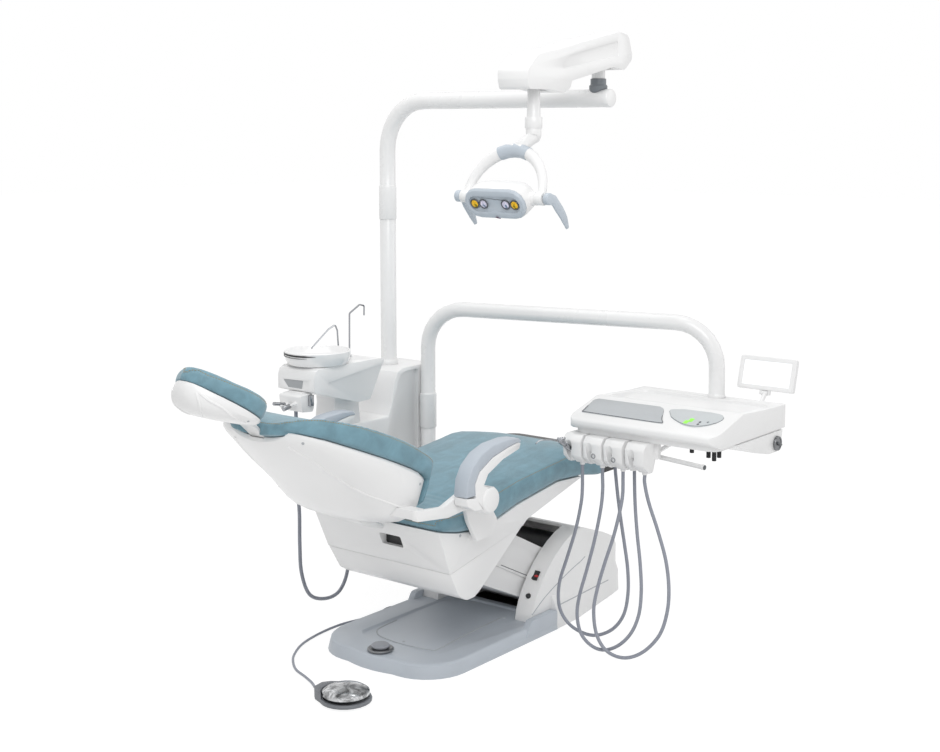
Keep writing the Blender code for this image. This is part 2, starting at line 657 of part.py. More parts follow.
def foot_joystick():
    """Four-way foot switch: a ring that leans one way on a ball, a knob on it that leans the other."""
    centre = BODIES["joystick_ring"][1]
    web = BALL_RADIUS + GAP
    ring = turned([(0, RING_WEB_TOP), (0.0262, RING_WEB_TOP), (0.0262, 0.0100), (0.040, 0.0105),
                   (0.043, 0.0080), (0.043, 0.0045), (0.041, 0.0032), (0.0275, 0.0024),
                   (0.0275, web), (0, web)], centre, (0, 0, 1), 18)
    axle = centre + Vector((0, 0, RING_WEB_TOP))
    ridge = cylinder(axle - Vector((0, 0.018, 0)), axle + Vector((0, 0.018, 0)), 0.0030 - GAP, 12)
    below = box(axle - Vector((0.01, 0.02, 0.01)), axle + Vector((0.01, 0.02, -0.001)))
    add("joystick_ring", join(ring, cut(ridge, below)), DARK, "joystick_ring")
    knob = turned([(0.0, 0.0225), (0.026, 0.0222), (0.031, 0.0185), (0.030, 0.0140),
                   (0.025, 0.0130), (0.025, RING_WEB_TOP + 0.0030), (0.0, RING_WEB_TOP + 0.0030)],
                  centre, (0, 0, 1), 18)
    add("joystick_knob", knob, PAD, "joystick")


def foot_control():
    """Air foot control: a sprung disc over a low base with its valve block."""
    base = turned([(0.0, 0.016), (FOOT_DISC_RADIUS + 0.004, 0.016), (FOOT_DISC_RADIUS + 0.0065, 0.012),
                   (FOOT_DISC_RADIUS + 0.0065, 0.006), (FOOT_DISC_RADIUS - 0.004, 0.0035), (0.0, 0.0035)],
                  FOOT_CENTRE, (0, 0, 1), 24)
    well = cylinder(FOOT_CENTRE + Vector((0, 0, 0.0125)), FOOT_CENTRE + Vector((0, 0, 0.03)),
                    FOOT_DISC_RADIUS - 0.004, 18)
    boss = cylinder(FOOT_CENTRE + Vector((0, 0, 0.011)), FOOT_CENTRE + Vector((0, 0, 0.0185)), 0.017, 24)
    bush = cylinder(FOOT_CENTRE - Vector((0, 0, 0.01)), FOOT_CENTRE + Vector((0, 0, 0.03)),
                    FOOT_STEM_RADIUS + GAP, 24)
    base = cut(join(cut(base, well), boss), bush)
    feet = [cylinder(FOOT_CENTRE + Vector((0.055 * math.cos(a), 0.055 * math.sin(a), 0.0)),
                     FOOT_CENTRE + Vector((0.055 * math.cos(a), 0.055 * math.sin(a), 0.005)), 0.008, 6)
            for a in (0.8, 2.9, 5.0)]
    base = join(base, *feet)
    heading = Matrix.Rotation(math.radians(98), 4, "Z")
    block = slab(rounded([(0.050, -0.058), (0.086, -0.040), (0.104, -0.020), (0.104, 0.020),
                          (0.086, 0.040), (0.050, 0.058)], [0, 0.012, 0.01, 0.01, 0.012, 0], 2),
                 0.0035, 0.034)
    block = bevelled(block, 0.005, 1, 50)
    ring = cylinder((0, 0, -0.01), (0, 0, 0.05), FOOT_DISC_RADIUS + 0.0045, 24)
    block = cut(block, ring)
    block.transform(Matrix.Translation(FOOT_CENTRE) @ heading)
    add("foot_control_base", join(base, block), PAD, "base")
    disc = turned([(0.0, 0.047), (0.035, 0.0460), (0.060, 0.0425), (FOOT_DISC_RADIUS - 0.001, 0.035),
                   (FOOT_DISC_RADIUS, 0.027), (FOOT_DISC_RADIUS - 0.0025, 0.0235),
                   (FOOT_STEM_RADIUS, 0.0260), (FOOT_STEM_RADIUS, 0.0105), (0.0, 0.0105)],
                  FOOT_CENTRE, (0, 0, 1), 24)
    add("foot_disc", disc, STEEL, "foot_disc")


def arm_profile(foot, head, low, high):
    """The lift arm's side outline, round both pivots, kept between two lines along it."""
    along = (SEAT_PIVOT - LIFT_PIVOT).normalized()
    out = Vector((-along.z, 0, along.x))
    out = out if out.z > 0 else -out
    points = []
    for centre, reach, radius, way in ((LIFT_PIVOT, ARM_FOOT_REACH, foot, -1), (SEAT_PIVOT, head, head, 1)):
        start, end = math.asin(max(-1.0, low / radius)), math.asin(min(1.0, high / radius))
        if way > 0:
            start, end = end, start
        for k in range(10):
            angle = start + (end - start) * k / 9
            points.append(centre + way * reach * math.cos(angle) * along + radius * math.sin(angle) * out)
    return [(p.x, p.z) for p in points]


def lift_arm():
    """Two covers that close over each other along a seam, and the guard that closes the housing."""
    pins = [cylinder((p.x, -0.25, p.z), (p.x, 0.25, p.z), PIN_RADIUS + GAP, PIN_SIDES)
            for p in (LIFT_PIVOT, SEAT_PIVOT)]
    upper = slab(arm_profile(ARM_RADIUS, ARM_RADIUS, ARM_SEAM, ARM_RADIUS), -ARM_HALF_Y, ARM_HALF_Y, "xz")
    upper = cut(bevelled(upper, 0.006, 2, 50), *pins)
    add("lift_arm_upper_cover", upper, WHITE, "lift_arm")
    lower = slab(arm_profile(ARM_FOOT_REACH, ARM_RADIUS - 0.002, -ARM_RADIUS, ARM_SEAM - GAP),
                 0.004 - ARM_HALF_Y, ARM_HALF_Y - 0.004, "xz")
    lower = bevelled(lower, 0.006, 2, 50)
    add("lift_arm_lower_cover", lower, WHITE, "lift_arm")
    outer, inner = [], []
    for k in range(15):
        angle = math.radians(118.0 - 52.0 * k / 14)
        direction = Vector((math.cos(angle), 0, math.sin(angle)))
        a = LIFT_PIVOT + direction * GUARD_RADIUS
        b = LIFT_PIVOT + direction * (GUARD_RADIUS - GUARD_WALL)
        outer.append((a.x, a.z))
        inner.append((b.x, b.z))
    rib_half = ARM_HALF_Y - 0.01
    guard = slab(outer + inner[::-1], -ARM_HALF_Y, ARM_HALF_Y, "xz")
    ribs = []
    lie = math.atan2(SEAT_PIVOT.z - LIFT_PIVOT.z, SEAT_PIVOT.x - LIFT_PIVOT.x)
    for angle in (math.radians(104.0), math.radians(78.0)):
        direction = Vector((math.cos(angle), 0, math.sin(angle)))
        side = Vector((-direction.z, 0, direction.x)) * 0.002
        a = LIFT_PIVOT + direction * (ARM_RADIUS / math.sin(lie - angle) + 0.0022)
        b = LIFT_PIVOT + direction * (GUARD_RADIUS - GUARD_WALL / 2)
        ribs.append(slab([((a - side).x, (a - side).z), ((b - side).x, (b - side).z),
                          ((b + side).x, (b + side).z), ((a + side).x, (a + side).z)],
                         -rib_half, rib_half, "xz"))
    add("lift_guard", join(guard, *ribs), DARK, "lift_arm")


SEAT_UNDERSIDE = [(-0.575, 0.4835), (-0.483, 0.4620), (-0.380, 0.4490), (-0.330, 0.4500), (-0.169, 0.4870),
                  (0.061, 0.5200), (0.206, 0.5135), (0.300, 0.4970), (0.345, 0.4950)]
SEAT_SEAM = [(-0.575, 0.530), (-0.508, 0.522), (-0.433, 0.523), (-0.300, 0.547), (-0.169, 0.570),
             (-0.056, 0.581), (0.061, 0.592), (0.150, 0.602), (0.200, 0.600), (0.245, 0.590), (0.345, 0.570)]
SHELL_LOW_EDGE = [(0.206, 0.5090), (-0.110, 0.428), (-0.136, 0.409)]
SHELL_SEAM_REAR = (-0.511, 0.334)


def drafted(mesh, top_z, share):
    """Draws the sides in below a height, as a moulded shell has."""
    for vertex in mesh.vertices:
        if vertex.co.z < top_z:
            vertex.co.y *= 1.0 - share * (top_z - vertex.co.z)
    return mesh


def bracket(side):
    """Plate outside the cushion that carries the pin of an armrest and of the backrest."""
    pivot = RECLINE_PIVOT
    outline = rounded([(pivot.x - 0.034, pivot.z), (pivot.x - 0.020, pivot.z + 0.034),
                       (pivot.x + 0.030, pivot.z + 0.022), (-0.345, 0.512), (-0.322, 0.478),
                       (-0.350, 0.430), (-0.428, 0.430), (-0.470, 0.500)],
                      [0.02, 0.02, 0.02, 0.01, 0.01, 0.006, 0.006, 0.02], 2)
    low, high = sorted((side * 0.2895, side * 0.3040))
    plate = slab(outline, low, high, "xz")
    low, high = sorted((side * (SEAT_HALF_Y - 0.012), side * 0.300))
    tab = box((-0.426, low, 0.4312), (-0.352, high, 0.4460))
    pin = cylinder((pivot.x, side * 0.300, pivot.z), (pivot.x, side * 0.366, pivot.z), 0.010, PIN_SIDES)
    return join(plate, tab, pin)


def seat_shell():
    """Upper and lower seat covers, hollow over the arm's head, with the seam between them."""
    top = [(x, z - 2 * GAP) for x, z in SEAT_UNDERSIDE if x <= 0.21]
    upper = slab(top + SHELL_LOW_EDGE + [SHELL_SEAM_REAR], -SEAT_HALF_Y, SEAT_HALF_Y, "xz")
    upper = drafted(bevelled(upper, 0.008, 2, 35), 0.45, 0.20)
    drop = 0.0012
    lower = slab([(SHELL_SEAM_REAR[0] + 0.002, SHELL_SEAM_REAR[1] - drop), (-0.140, 0.409 - drop)]
                 + rounded([(-0.140, 0.409 - drop), (-0.350, 0.245), (-0.379, 0.228), (-0.421, 0.227),
                            (-0.462, 0.252), (-0.509, 0.333)], [0, 0.03, 0.03, 0.03, 0.03, 0], 2)[1:-1],
                 0.002 - SEAT_HALF_Y, SEAT_HALF_Y - 0.002, "xz")
    lower = drafted(bevelled(lower, 0.012, 2, 35), 0.45, 0.20)
    half = SEAT_HALF_Y - SHELL_WALL - 0.014
    pocket = [(-0.500, 0.435), (-0.473, 0.338), (-0.440, 0.264), (-0.414, 0.243), (-0.378, 0.243),
              (-0.345, 0.150), (0.100, 0.150), (0.100, 0.4595), (-0.140, 0.4595), (-0.200, 0.4645),
              (-0.332, 0.4440),
              (-0.380, 0.433), (-0.470, 0.444)]
    slot = rounded([(-0.094, 0.396), (-0.004, 0.396), (-0.004, 0.436), (-0.094, 0.436)], 0.006, 3)
    upper = cut(upper, slab(pocket, -half, half, "xz"), slab(slot, -0.62, -0.42, "yz"))
    lower = cut(lower, slab(pocket, -half, half, "xz"))
    add("seat_shell", join(upper, bracket(-1), bracket(1)), WHITE, "seat")
    add("seat_belly", lower, WHITE, "seat")


def seat_frame():
    """Steel saddle under the seat: a plate, two cheeks and the pin that the lift arm hangs on."""
    plate = slab([(-0.325, 0.4333), (-0.200, 0.4526), (-0.165, 0.4480), (-0.020, 0.4480),
                  (-0.020, 0.4592), (-0.140, 0.4592), (-0.200, 0.4642), (-0.329, 0.4441)],
                 -0.200, 0.200, "xz")
    cheeks = []
    for side in (-1, 1):
        low, high = sorted((side * 0.182, side * 0.192))
        outline = rounded([(-0.318, 0.437), (-0.296, 0.320), (-0.232, 0.320), (-0.165, 0.453)],
                          [0, 0.028, 0.028, 0], 3)
        cheeks.append(slab(outline, low, high, "xz"))
    pin = cylinder((SEAT_PIVOT.x, -0.196, SEAT_PIVOT.z), (SEAT_PIVOT.x, 0.196, SEAT_PIVOT.z),
                   PIN_RADIUS, PIN_SIDES)
    add("seat_frame", join(plate, *cheeks, pin), DARK, "seat")


def cushion_ring(x, half, under, seam, crown):
    """A seat section: flat below, a full side up to the seam, then a soft crown."""
    side = seam - under
    arc = [(half - 0.030, under), (half - 0.010, under + 0.004), (half - 0.001, under + 0.25 * side),
           (half + 0.003, under + 0.55 * side), (half, seam - 0.006), (half - 0.005, seam),
           (half - 0.022, seam + 0.40 * crown), (0.72 * half, seam + 0.75 * crown),
           (0.38 * half, seam + 0.95 * crown), (0.0, seam + crown)]
    ring = [(0.0, under)] + arc
    full = ring + [(-y, z) for y, z in reversed(ring[1:-1])]
    return [(x, y, z) for y, z in full]


def seat_cushion():
    """Seat upholstery with drawn-in sides, a knee rise and a crowned top."""
    low_x, high_x = SEAT_UNDERSIDE[0][0], SEAT_UNDERSIDE[-1][0]
    stations = sorted({x for x, z in SEAT_UNDERSIDE} | {x for x, z in SEAT_SEAM}
                      | {low_x + d for d in (0.006, 0.018, 0.036)} | {high_x - d for d in (0.008, 0.022)})
    rings = []
    for x in stations:
        under, seam = between(SEAT_UNDERSIDE, x), between(SEAT_SEAM, x)
        share = (x - low_x) / (high_x - low_x)
        half = SEAT_CUSHION_HALF_Y - 0.007 * math.sin(math.pi * share)
        rear, front = x - low_x, high_x - x
        half -= 0.036 * max(0.0, 1 - rear / 0.036) ** 2 + 0.020 * max(0.0, 1 - front / 0.022) ** 2
        drop = 0.020 * max(0.0, 1 - rear / 0.036) ** 2 + 0.012 * max(0.0, 1 - front / 0.022) ** 2
        lift = 0.010 * max(0.0, 1 - rear / 0.018) ** 2
        rings.append(cushion_ring(x, half, under + lift, seam - drop, 0.013))
    add("seat_cushion", loft(rings), TEAL, "seat")
    start = high_x + GAP
    cover = slab(rounded([(start, -0.262), (FOOT_COVER_END_X, -0.262), (FOOT_COVER_END_X, 0.262),
                          (start, 0.262)], [0, 0.06, 0.06, 0], 5), 0.493, 0.552)
    add("foot_cover", bevelled(cover, 0.014, 3, 50), BLACK, "seat")


BACK_HALF_WIDTH = [(0.030, 0.258), (0.045, 0.270), (0.080, 0.275), (0.150, 0.275), (0.200, 0.272),
                   (0.250, 0.266), (0.300, 0.257), (0.350, 0.245), (0.400, 0.228), (0.440, 0.210),
                   (0.470, 0.190), (0.490, 0.165), (0.505, 0.122)]
BACK_RIM = [(0.030, 0.050), (0.060, 0.065), (0.120, 0.072), (0.230, 0.078), (0.380, 0.083),
            (0.440, 0.085), (0.505, 0.084)]
BACK_KEEL = [(0.030, -0.100), (0.060, -0.110), (0.118, -0.114), (0.180, -0.102), (0.240, -0.078),
             (0.300, -0.050), (0.366, -0.022), (0.420, 0.001), (0.470, 0.023), (0.505, 0.042)]
BACK_FULLNESS = [(0.030, 4.0), (0.100, 3.0), (0.200, 1.9), (0.505, 1.7)]
BACK_STATIONS = [0.030, 0.045, 0.080, 0.120, 0.180, 0.240, 0.300, 0.350, 0.400, 0.440, 0.470, 0.490,
                 0.505]
SCOOP_DEPTH = 0.027


def rim_level(s, y):
    """Height of the shell's rim: level along the sides, scooped between the two shoulders."""
    end = min(1.0, max(0.0, (s - 0.430) / 0.060))
    middle = max(0.0, 1.0 - (y / 0.150) ** 2)
    return between(BACK_RIM, s) - SCOOP_DEPTH * end * middle


def in_back_frame(mesh):
    """Moves a piece modelled with x as s, y as y and z as t onto the backrest."""
    for vertex in mesh.vertices:
        vertex.co = back_point(*vertex.co)
    bm = bmesh.new()
    bm.from_mesh(mesh)
    return to_mesh(bm)


def bar_profile(grow, start):
    """Side outline of the slide bar, or of a slot that leaves it room."""
    reach = HEAD_BAR_WALL / 2 + grow
    line = [(start, HEAD_BAR_LINE[0][1])] + HEAD_BAR_LINE[1:]
    return [(s, t - reach) for s, t in line] + [(s, t + reach) for s, t in reversed(line)]


def bar_slot():
    """Room for the slide bar, drawn in and out, between the backrest's shell and its cushion."""
    half, reach = HEAD_BAR_HALF_Y + GAP, HEAD_BAR_WALL / 2 + GAP
    outline = bar_profile(GAP, HEAD_BAR_FOOT_S - 0.002)
    outline[1:4] = [(0.620, HEAD_BAR_LINE[0][1] - reach)]
    return in_back_frame(slab(outline, -half, half, "xz"))


def back_hull():
    """The backrest's rear hull, from the scooped rim to a keel that fades towards the head."""
    rings = []
    for s in BACK_STATIONS:
        half, keel, fullness = (between(t, s) for t in (BACK_HALF_WIDTH, BACK_KEEL, BACK_FULLNESS))
        rim = between(BACK_RIM, s)
        depth = rim - keel
        top = [(share * half, rim_level(s, share * half)) for share in (0.0, 0.30, 0.55, 0.75, 0.88)]
        arc = [(half - 0.006, rim), (half, rim - 0.05 * depth)]
        for k in range(1, 7):
            a = math.radians(90 * k / 7)
            arc.append((half * math.cos(a) ** (2 / fullness),
                        rim - 0.06 * depth - 0.94 * depth * math.sin(a) ** (2 / fullness)))
        ring = top + arc + [(0.0, keel)]
        ring += [(-y, t) for y, t in reversed(ring[1:-1])]
        rings.append([back_point(s, y, t) for y, t in ring])
    return loft(rings)


def backrest_shell():
    """Rear shell of the backrest with its hinge cover, cut for the torque bar and the slide bar."""
    flap = slab([(-0.800, 0.575), (-0.760, 0.538), (-0.700, 0.505), (-0.640, 0.478), (-0.606, 0.470),
                 (-0.606, 0.484), (-0.640, 0.500), (-0.690, 0.540), (-0.690, 0.600)], -0.075, 0.075, "xz")
    shell = join(back_hull(), bevelled(flap, 0.006, 2, 50))
    shell = cut(shell, hinge_bar(GAP), bar_slot())
    add("backrest_shell", shell, WHITE, "backrest")


def hinge_bar(grow=0.0):
    """Torque bar through the shell that ties the two hinge arms together."""
    reach = HINGE_ARM_Y - 0.002 + 40 * grow
    return box((-0.742 - grow, -reach, 0.566 - grow), (-0.700 + grow, reach, 0.594 + grow))


def hinge_arms():
    """The two arms on which the backrest swings about the armrest pivots."""
    pivot = RECLINE_PIVOT
    arms = []
    for side in (-1, 1):
        outline = rounded([(-0.745, 0.596), (-0.745, 0.564), (-0.600, 0.546), (-0.530, 0.552),
                           (pivot.x + 0.010, pivot.z - 0.034), (pivot.x + 0.034, pivot.z),
                           (pivot.x, pivot.z + 0.036), (-0.535, 0.610), (-0.620, 0.582)],
                          [0.006, 0.006, 0.03, 0.03, 0.02, 0.02, 0.02, 0.03, 0.03], 2)
        low, high = sorted((side * (HINGE_ARM_Y - 0.010), side * (HINGE_ARM_Y + 0.010)))
        arm = slab(outline, low, high, "xz")
        hole = cylinder((pivot.x, side * 0.28, pivot.z), (pivot.x, side * 0.35, pivot.z),
                        0.010 + GAP, PIN_SIDES)
        arms.append(cut(arm, hole))
    add("backrest_hinge_arms", join(hinge_bar(), *arms), WHITE, "backrest")


BACK_CUSHION_HALF = [(0.010, 0.262), (0.030, 0.280), (0.080, 0.285), (0.150, 0.284), (0.200, 0.281),
                     (0.250, 0.275), (0.300, 0.266), (0.350, 0.254), (0.400, 0.237), (0.440, 0.219),
                     (0.470, 0.198), (0.496, 0.168), (0.515, 0.132), (0.532, 0.096)]
BACK_SEAM = [(0.010, 0.095), (0.018, 0.108), (0.034, 0.120), (0.060, 0.127), (0.132, 0.139),
             (0.200, 0.147), (0.257, 0.150), (0.364, 0.152), (0.440, 0.1465), (0.470, 0.142),
             (0.496, 0.133), (0.515, 0.119), (0.532, 0.104)]
BACK_SEAT = 0.0008


def back_cushion_ring(s, wrap=None):
    """A section of the back cushion: its underside follows the rim, or is level where it wraps."""
    half, seam = between(BACK_CUSHION_HALF, s), between(BACK_SEAM, s)
    at = min(max(s, BACK_STATIONS[0]), BACK_STATIONS[-1])
    inner = min(between(BACK_HALF_WIDTH, at), half - 0.004)
    under = between(BACK_RIM, at) + BACK_SEAT if wrap is None else wrap
    side = seam - under
    crown = between([(0.010, 0.003), (0.040, 0.010), (0.180, 0.008), (0.300, -0.008), (0.400, -0.020),
                     (0.480, -0.022), (0.532, -0.010)], s)
    low = [(share * inner, rim_level(at, share * inner) + BACK_SEAT if wrap is None else wrap)
           for share in (0.0, 0.30, 0.55, 0.75, 0.88)]
    arc = [(inner - 0.006, under), (half - 0.003, under + 0.08 * side), (half + 0.002, under + 0.45 * side),
           (half, seam - 0.08 * side), (half - 0.006, seam), (half - 0.024, seam + 0.40 * crown),
           (0.72 * half, seam + 0.75 * crown), (0.38 * half, seam + 0.95 * crown), (0.0, seam + crown)]
    ring = low + arc
    ring += [(-y, t) for y, t in reversed(ring[1:-1])]
    return [back_point(s, y, t) for y, t in ring]


def backrest_cushion():
    """Back upholstery that sits in the shell's rim and scoop and wraps the shell's lower end."""
    rings = [back_cushion_ring(s, -0.026) for s in (0.010, 0.018, 0.0284)]
    stations = set(BACK_STATIONS[1:]) | {0.0290, 0.060, 0.140, 0.364, 0.515, 0.526, 0.532}
    rings += [back_cushion_ring(s) for s in sorted(stations)]
    add("backrest_cushion", cut(loft(rings), bar_slot()), TEAL, "backrest")


HEAD_ORIGIN = Vector((-1.1495, 0.0, 0.9062))
HEAD_ANGLE = math.radians(31.5)


def head_point(s, y, t):
    up = Vector((-math.cos(HEAD_ANGLE), 0, math.sin(HEAD_ANGLE)))
    out = Vector((math.sin(HEAD_ANGLE), 0, math.cos(HEAD_ANGLE)))
    return HEAD_ORIGIN + up * s + out * t + Vector((0, y, 0))


def headrest_bar():
    """Slide bar of the headrest, with the knuckle that the headrest tilts on."""
    s, t = HEADREST_PIVOT_S, HEADREST_PIVOT_T
    half = HEAD_BAR_HALF_Y
    bar = bevelled(slab(bar_profile(0.0, HEAD_BAR_FOOT_S), -half, half, "xz"), 0.002, 1, 60)
    knuckle = cylinder((s, -half, t), (s, half, t), KNUCKLE_RADIUS, PIN_SIDES)
    add("headrest_bar", in_back_frame(join(bar, knuckle)), WHITE, "headrest_bar")


HEAD_HALF_WIDTH = [(-0.024, 0.058), (-0.014, 0.084), (0.000, 0.102), (0.018, 0.113), (0.045, 0.120),
                   (0.080, 0.122), (0.120, 0.114), (0.155, 0.098), (0.185, 0.076), (0.205, 0.057),
                   (0.220, 0.037), (0.230, 0.016)]
HEAD_PARTING = [(-0.024, 0.000), (0.100, 0.000), (0.175, 0.003), (0.220, 0.009), (0.230, 0.009)]
HEAD_BACK = [(-0.024, -0.016), (0.000, -0.023), (0.018, -0.028), (0.088, -0.047), (0.140, -0.058),
             (0.180, -0.057), (0.205, -0.044), (0.220, -0.030), (0.230, -0.010)]
HEAD_TOP = [(-0.030, 0.030), (-0.022, 0.047), (0.000, 0.055), (0.060, 0.057), (0.120, 0.052), (0.180, 0.050),
            (0.212, 0.048), (0.228, 0.041), (0.238, 0.027)]
HEAD_STATIONS = [-0.024, -0.014, 0.000, 0.018, 0.045, 0.080, 0.120, 0.155, 0.185, 0.205, 0.220, 0.230]
BAR_SWING = math.radians(17.0)


def knuckle_room():
    """Cutters for the knuckle and for the bar's swing out of the headrest's neck end."""
    s, t = HEADREST_PIVOT_S, HEADREST_PIVOT_T
    half = HEAD_BAR_HALF_Y + 0.0015
    reach = HEAD_BAR_WALL / 2 + 0.0015
    foot_s, foot_t = HEAD_BAR_LINE[2]
    run = 1.25 * math.hypot(s - foot_s, t - foot_t)
    lean = math.atan2(t - foot_t, s - foot_s)
    low, high = lean + BAR_SWING, lean - BAR_SWING
    outline = [(s, t - reach), (s, t + reach),
               (s - run * math.cos(high), t + reach - run * math.sin(high)),
               (s - run * math.cos(low), t - reach - run * math.sin(low))]
    swing = slab(outline, -half, half, "xz")
    hollow = cylinder((s, -half, t), (s, half, t), KNUCKLE_RADIUS + 0.0010, PIN_SIDES)
    return [in_back_frame(cutter) for cutter in (swing, hollow)]


def headrest():
    """Oval headrest: a deep rear shell over the knuckle, and a cushion with a seam round its top."""
    rings = []
    for s in HEAD_STATIONS:
        half, part, back = (between(t, s) for t in (HEAD_HALF_WIDTH, HEAD_PARTING, HEAD_BACK))
        deep = part - back
        arc = [(half - 0.002, part), (half, part - 0.12 * deep)]
        for k in range(1, 6):
            a = math.radians(15 * k)
            arc.append((half * math.cos(a) ** 0.8, part - 0.12 * deep - 0.88 * deep * math.sin(a) ** 0.8))
        ring = [(0.0, part)] + arc + [(0.0, back)]
        ring += [(-y, t) for y, t in reversed(arc)]
        rings.append([head_point(s, y, t) for y, t in ring])
    add("headrest_shell", cut(loft(rings), *knuckle_room()), WHITE, "headrest")
    rings = []
    for s in [-0.030, -0.027] + HEAD_STATIONS + [0.235, 0.238]:
        inner = min(max(s, HEAD_STATIONS[0]), HEAD_STATIONS[-1])
        half, top = between(HEAD_HALF_WIDTH, inner), between(HEAD_TOP, s)
        under = between(HEAD_PARTING, inner) + 2 * GAP
        beyond = max(HEAD_STATIONS[0] - s, s - HEAD_STATIONS[-1], 0.0)
        half += 0.004 - 1.2 * beyond
        under += 1.0 * beyond
        side = top - under
        arc = [(0.75 * half, under), (half - 0.003, under + 0.04 * side), (half + 0.001, under + 0.35 * side),
               (half, under + 0.72 * side), (half - 0.006, under + 0.93 * side), (half - 0.010, top),
               (0.72 * half, top + 0.007), (0.38 * half, top + 0.010), (0.0, top + 0.011)]
        ring = [(0.0, under)] + arc + [(-y, t) for y, t in reversed(arc[:-1])]
        rings.append([head_point(s, y, t) for y, t in ring])
    add("headrest_cushion", cut(loft(rings), knuckle_room()[0]), TEAL, "headrest")


ARMREST_PARTING = [(-0.530, 0.600), (-0.534, 0.643), (-0.511, 0.679), (-0.445, 0.712), (-0.370, 0.729),
                   (-0.322, 0.736)]


def other_side(mesh):
    """The mesh's mirror image across the chair's middle plane."""
    bm = bmesh.new()
    bm.from_mesh(mesh)
    bmesh.ops.scale(bm, vec=(1, -1, 1), verts=bm.verts)
    return to_mesh(bm)


def armrests():
    """Curved armrests: a white arm round the pivot pin and a pad along its outer edge."""
    pivot = RECLINE_PIVOT
    boss = [(pivot.x + 0.043 * math.cos(a), pivot.z + 0.043 * math.sin(a))
            for a in (math.radians(210 + 15 * k) for k in range(15))]
    outline = ([(-0.576, 0.607), (-0.570, 0.582), (-0.535, 0.562)] + boss
               + [(-0.492, 0.632), (-0.470, 0.664), (-0.395, 0.697), (-0.310, 0.716),
                  (-0.303, 0.734)] + ARMREST_PARTING[::-1])
    near, far = -ARMREST_Y + 0.027, -ARMREST_Y - 0.025
    arm = bevelled(slab(outline, far, near, "xz"), 0.004, 1, 50)
    cap = turned([(0.0, 0.0065), (0.034, 0.0065), (0.0385, 0.0045), (0.040, 0.0),
                  (0.040, -0.010), (0.0, -0.010)], (pivot.x, far - 0.002, pivot.z), (0, -1, 0), 20)
    hole = cylinder((pivot.x, near + 0.01, pivot.z), (pivot.x, -0.3665, pivot.z), 0.010 + GAP, PIN_SIDES)
    arm = cut(join(arm, cap), hole)
    outer = [(-0.300, 0.7400), (-0.312, 0.750), (-0.360, 0.755), (-0.442, 0.750), (-0.500, 0.732),
             (-0.545, 0.700), (-0.570, 0.660), (-0.577, 0.6085)]
    inner = [(x - 0.0014, z + 0.0009) for x, z in ARMREST_PARTING]
    inner[0] = (inner[0][0], 0.6085)
    pad = bevelled(slab(inner + [(-0.3035, 0.7355)] + outer, far, near, "xz"), 0.009, 2, 50)
    add("armrest_left", other_side(arm), WHITE, "armrest_left")
    add("armrest_pad_left", other_side(pad), PAD, "armrest_left")
    add("armrest_right", arm, WHITE, "armrest_right")
    add("armrest_pad_right", pad, PAD, "armrest_right")


def unit_bracket():
    """Plate under the seat that runs out to the column and carries the delivery post."""
    plate = slab(rounded([(-0.080, -0.100), (0.330, -0.100), (0.330, 0.700),
                          (-0.080, 0.700)], 0.030), 0.400, 0.4255, "xy")
    step = box((-0.0795, -0.150, 0.410), (-0.021, 0.150, 0.4477))
    post = cylinder(DELIVERY_POST + Vector((0, 0, 0.420)),
                    DELIVERY_POST + Vector((0, 0, SLEEVE_Z[0] - GAP)), DELIVERY_RADIUS, 20)
    flange = cylinder(DELIVERY_POST + Vector((0, 0, 0.421)),
                      DELIVERY_POST + Vector((0, 0, 0.436)), 0.0335, 20)
    add("unit_bracket", join(plate, step, post, flange), WHITE, "seat")


def column():
    """Column with a flared edge band, a grooved front, the ledge and its pillar foot."""
    x0, x1 = COLUMN_X
    y0, y1 = COLUMN_Y
    z0, z1 = COLUMN_Z
    outline = rounded([(-0.050, z0), (-0.020, 0.520), (0.015, 0.604), (0.055, 0.700),
                       (x0, z1), (x1, z1), (x1, z0)],
                      [0.010, 0.060, 0.060, 0.080, 0.055, 0.020, 0.010])
    shell = bevelled(slab(outline, y0, y1, "xz"), 0.010, 2)
    inner = rounded([(-0.020, z0 - 0.02), (0.008, 0.520), (0.041, 0.604), (0.078, 0.700),
                     (x0 + 0.022, z1 - 0.014), (0.206, z1 - 0.014), (0.206, z0 - 0.02)],
                    [0.0, 0.060, 0.060, 0.080, 0.050, 0.0, 0.0])
    panel = slab(inner, y0 - 0.020, y0 + 0.005, "xz")
    groove = box((0.184, y0 - 0.020, z0 - 0.020), (0.205, y0 + 0.014, z1 - 0.014))
    ledge = bevelled(slab(rounded([(-0.220, 0.4802), (0.120, 0.4802), (0.120, 0.620),
                                   (-0.220, 0.620)], [0.045, 0, 0, 0.045]),
                          0.600, LEDGE_TOP_Z, "xy"), 0.006, 2)
    add("column", cut(join(shell, ledge), panel, groove), WHITE, "seat")


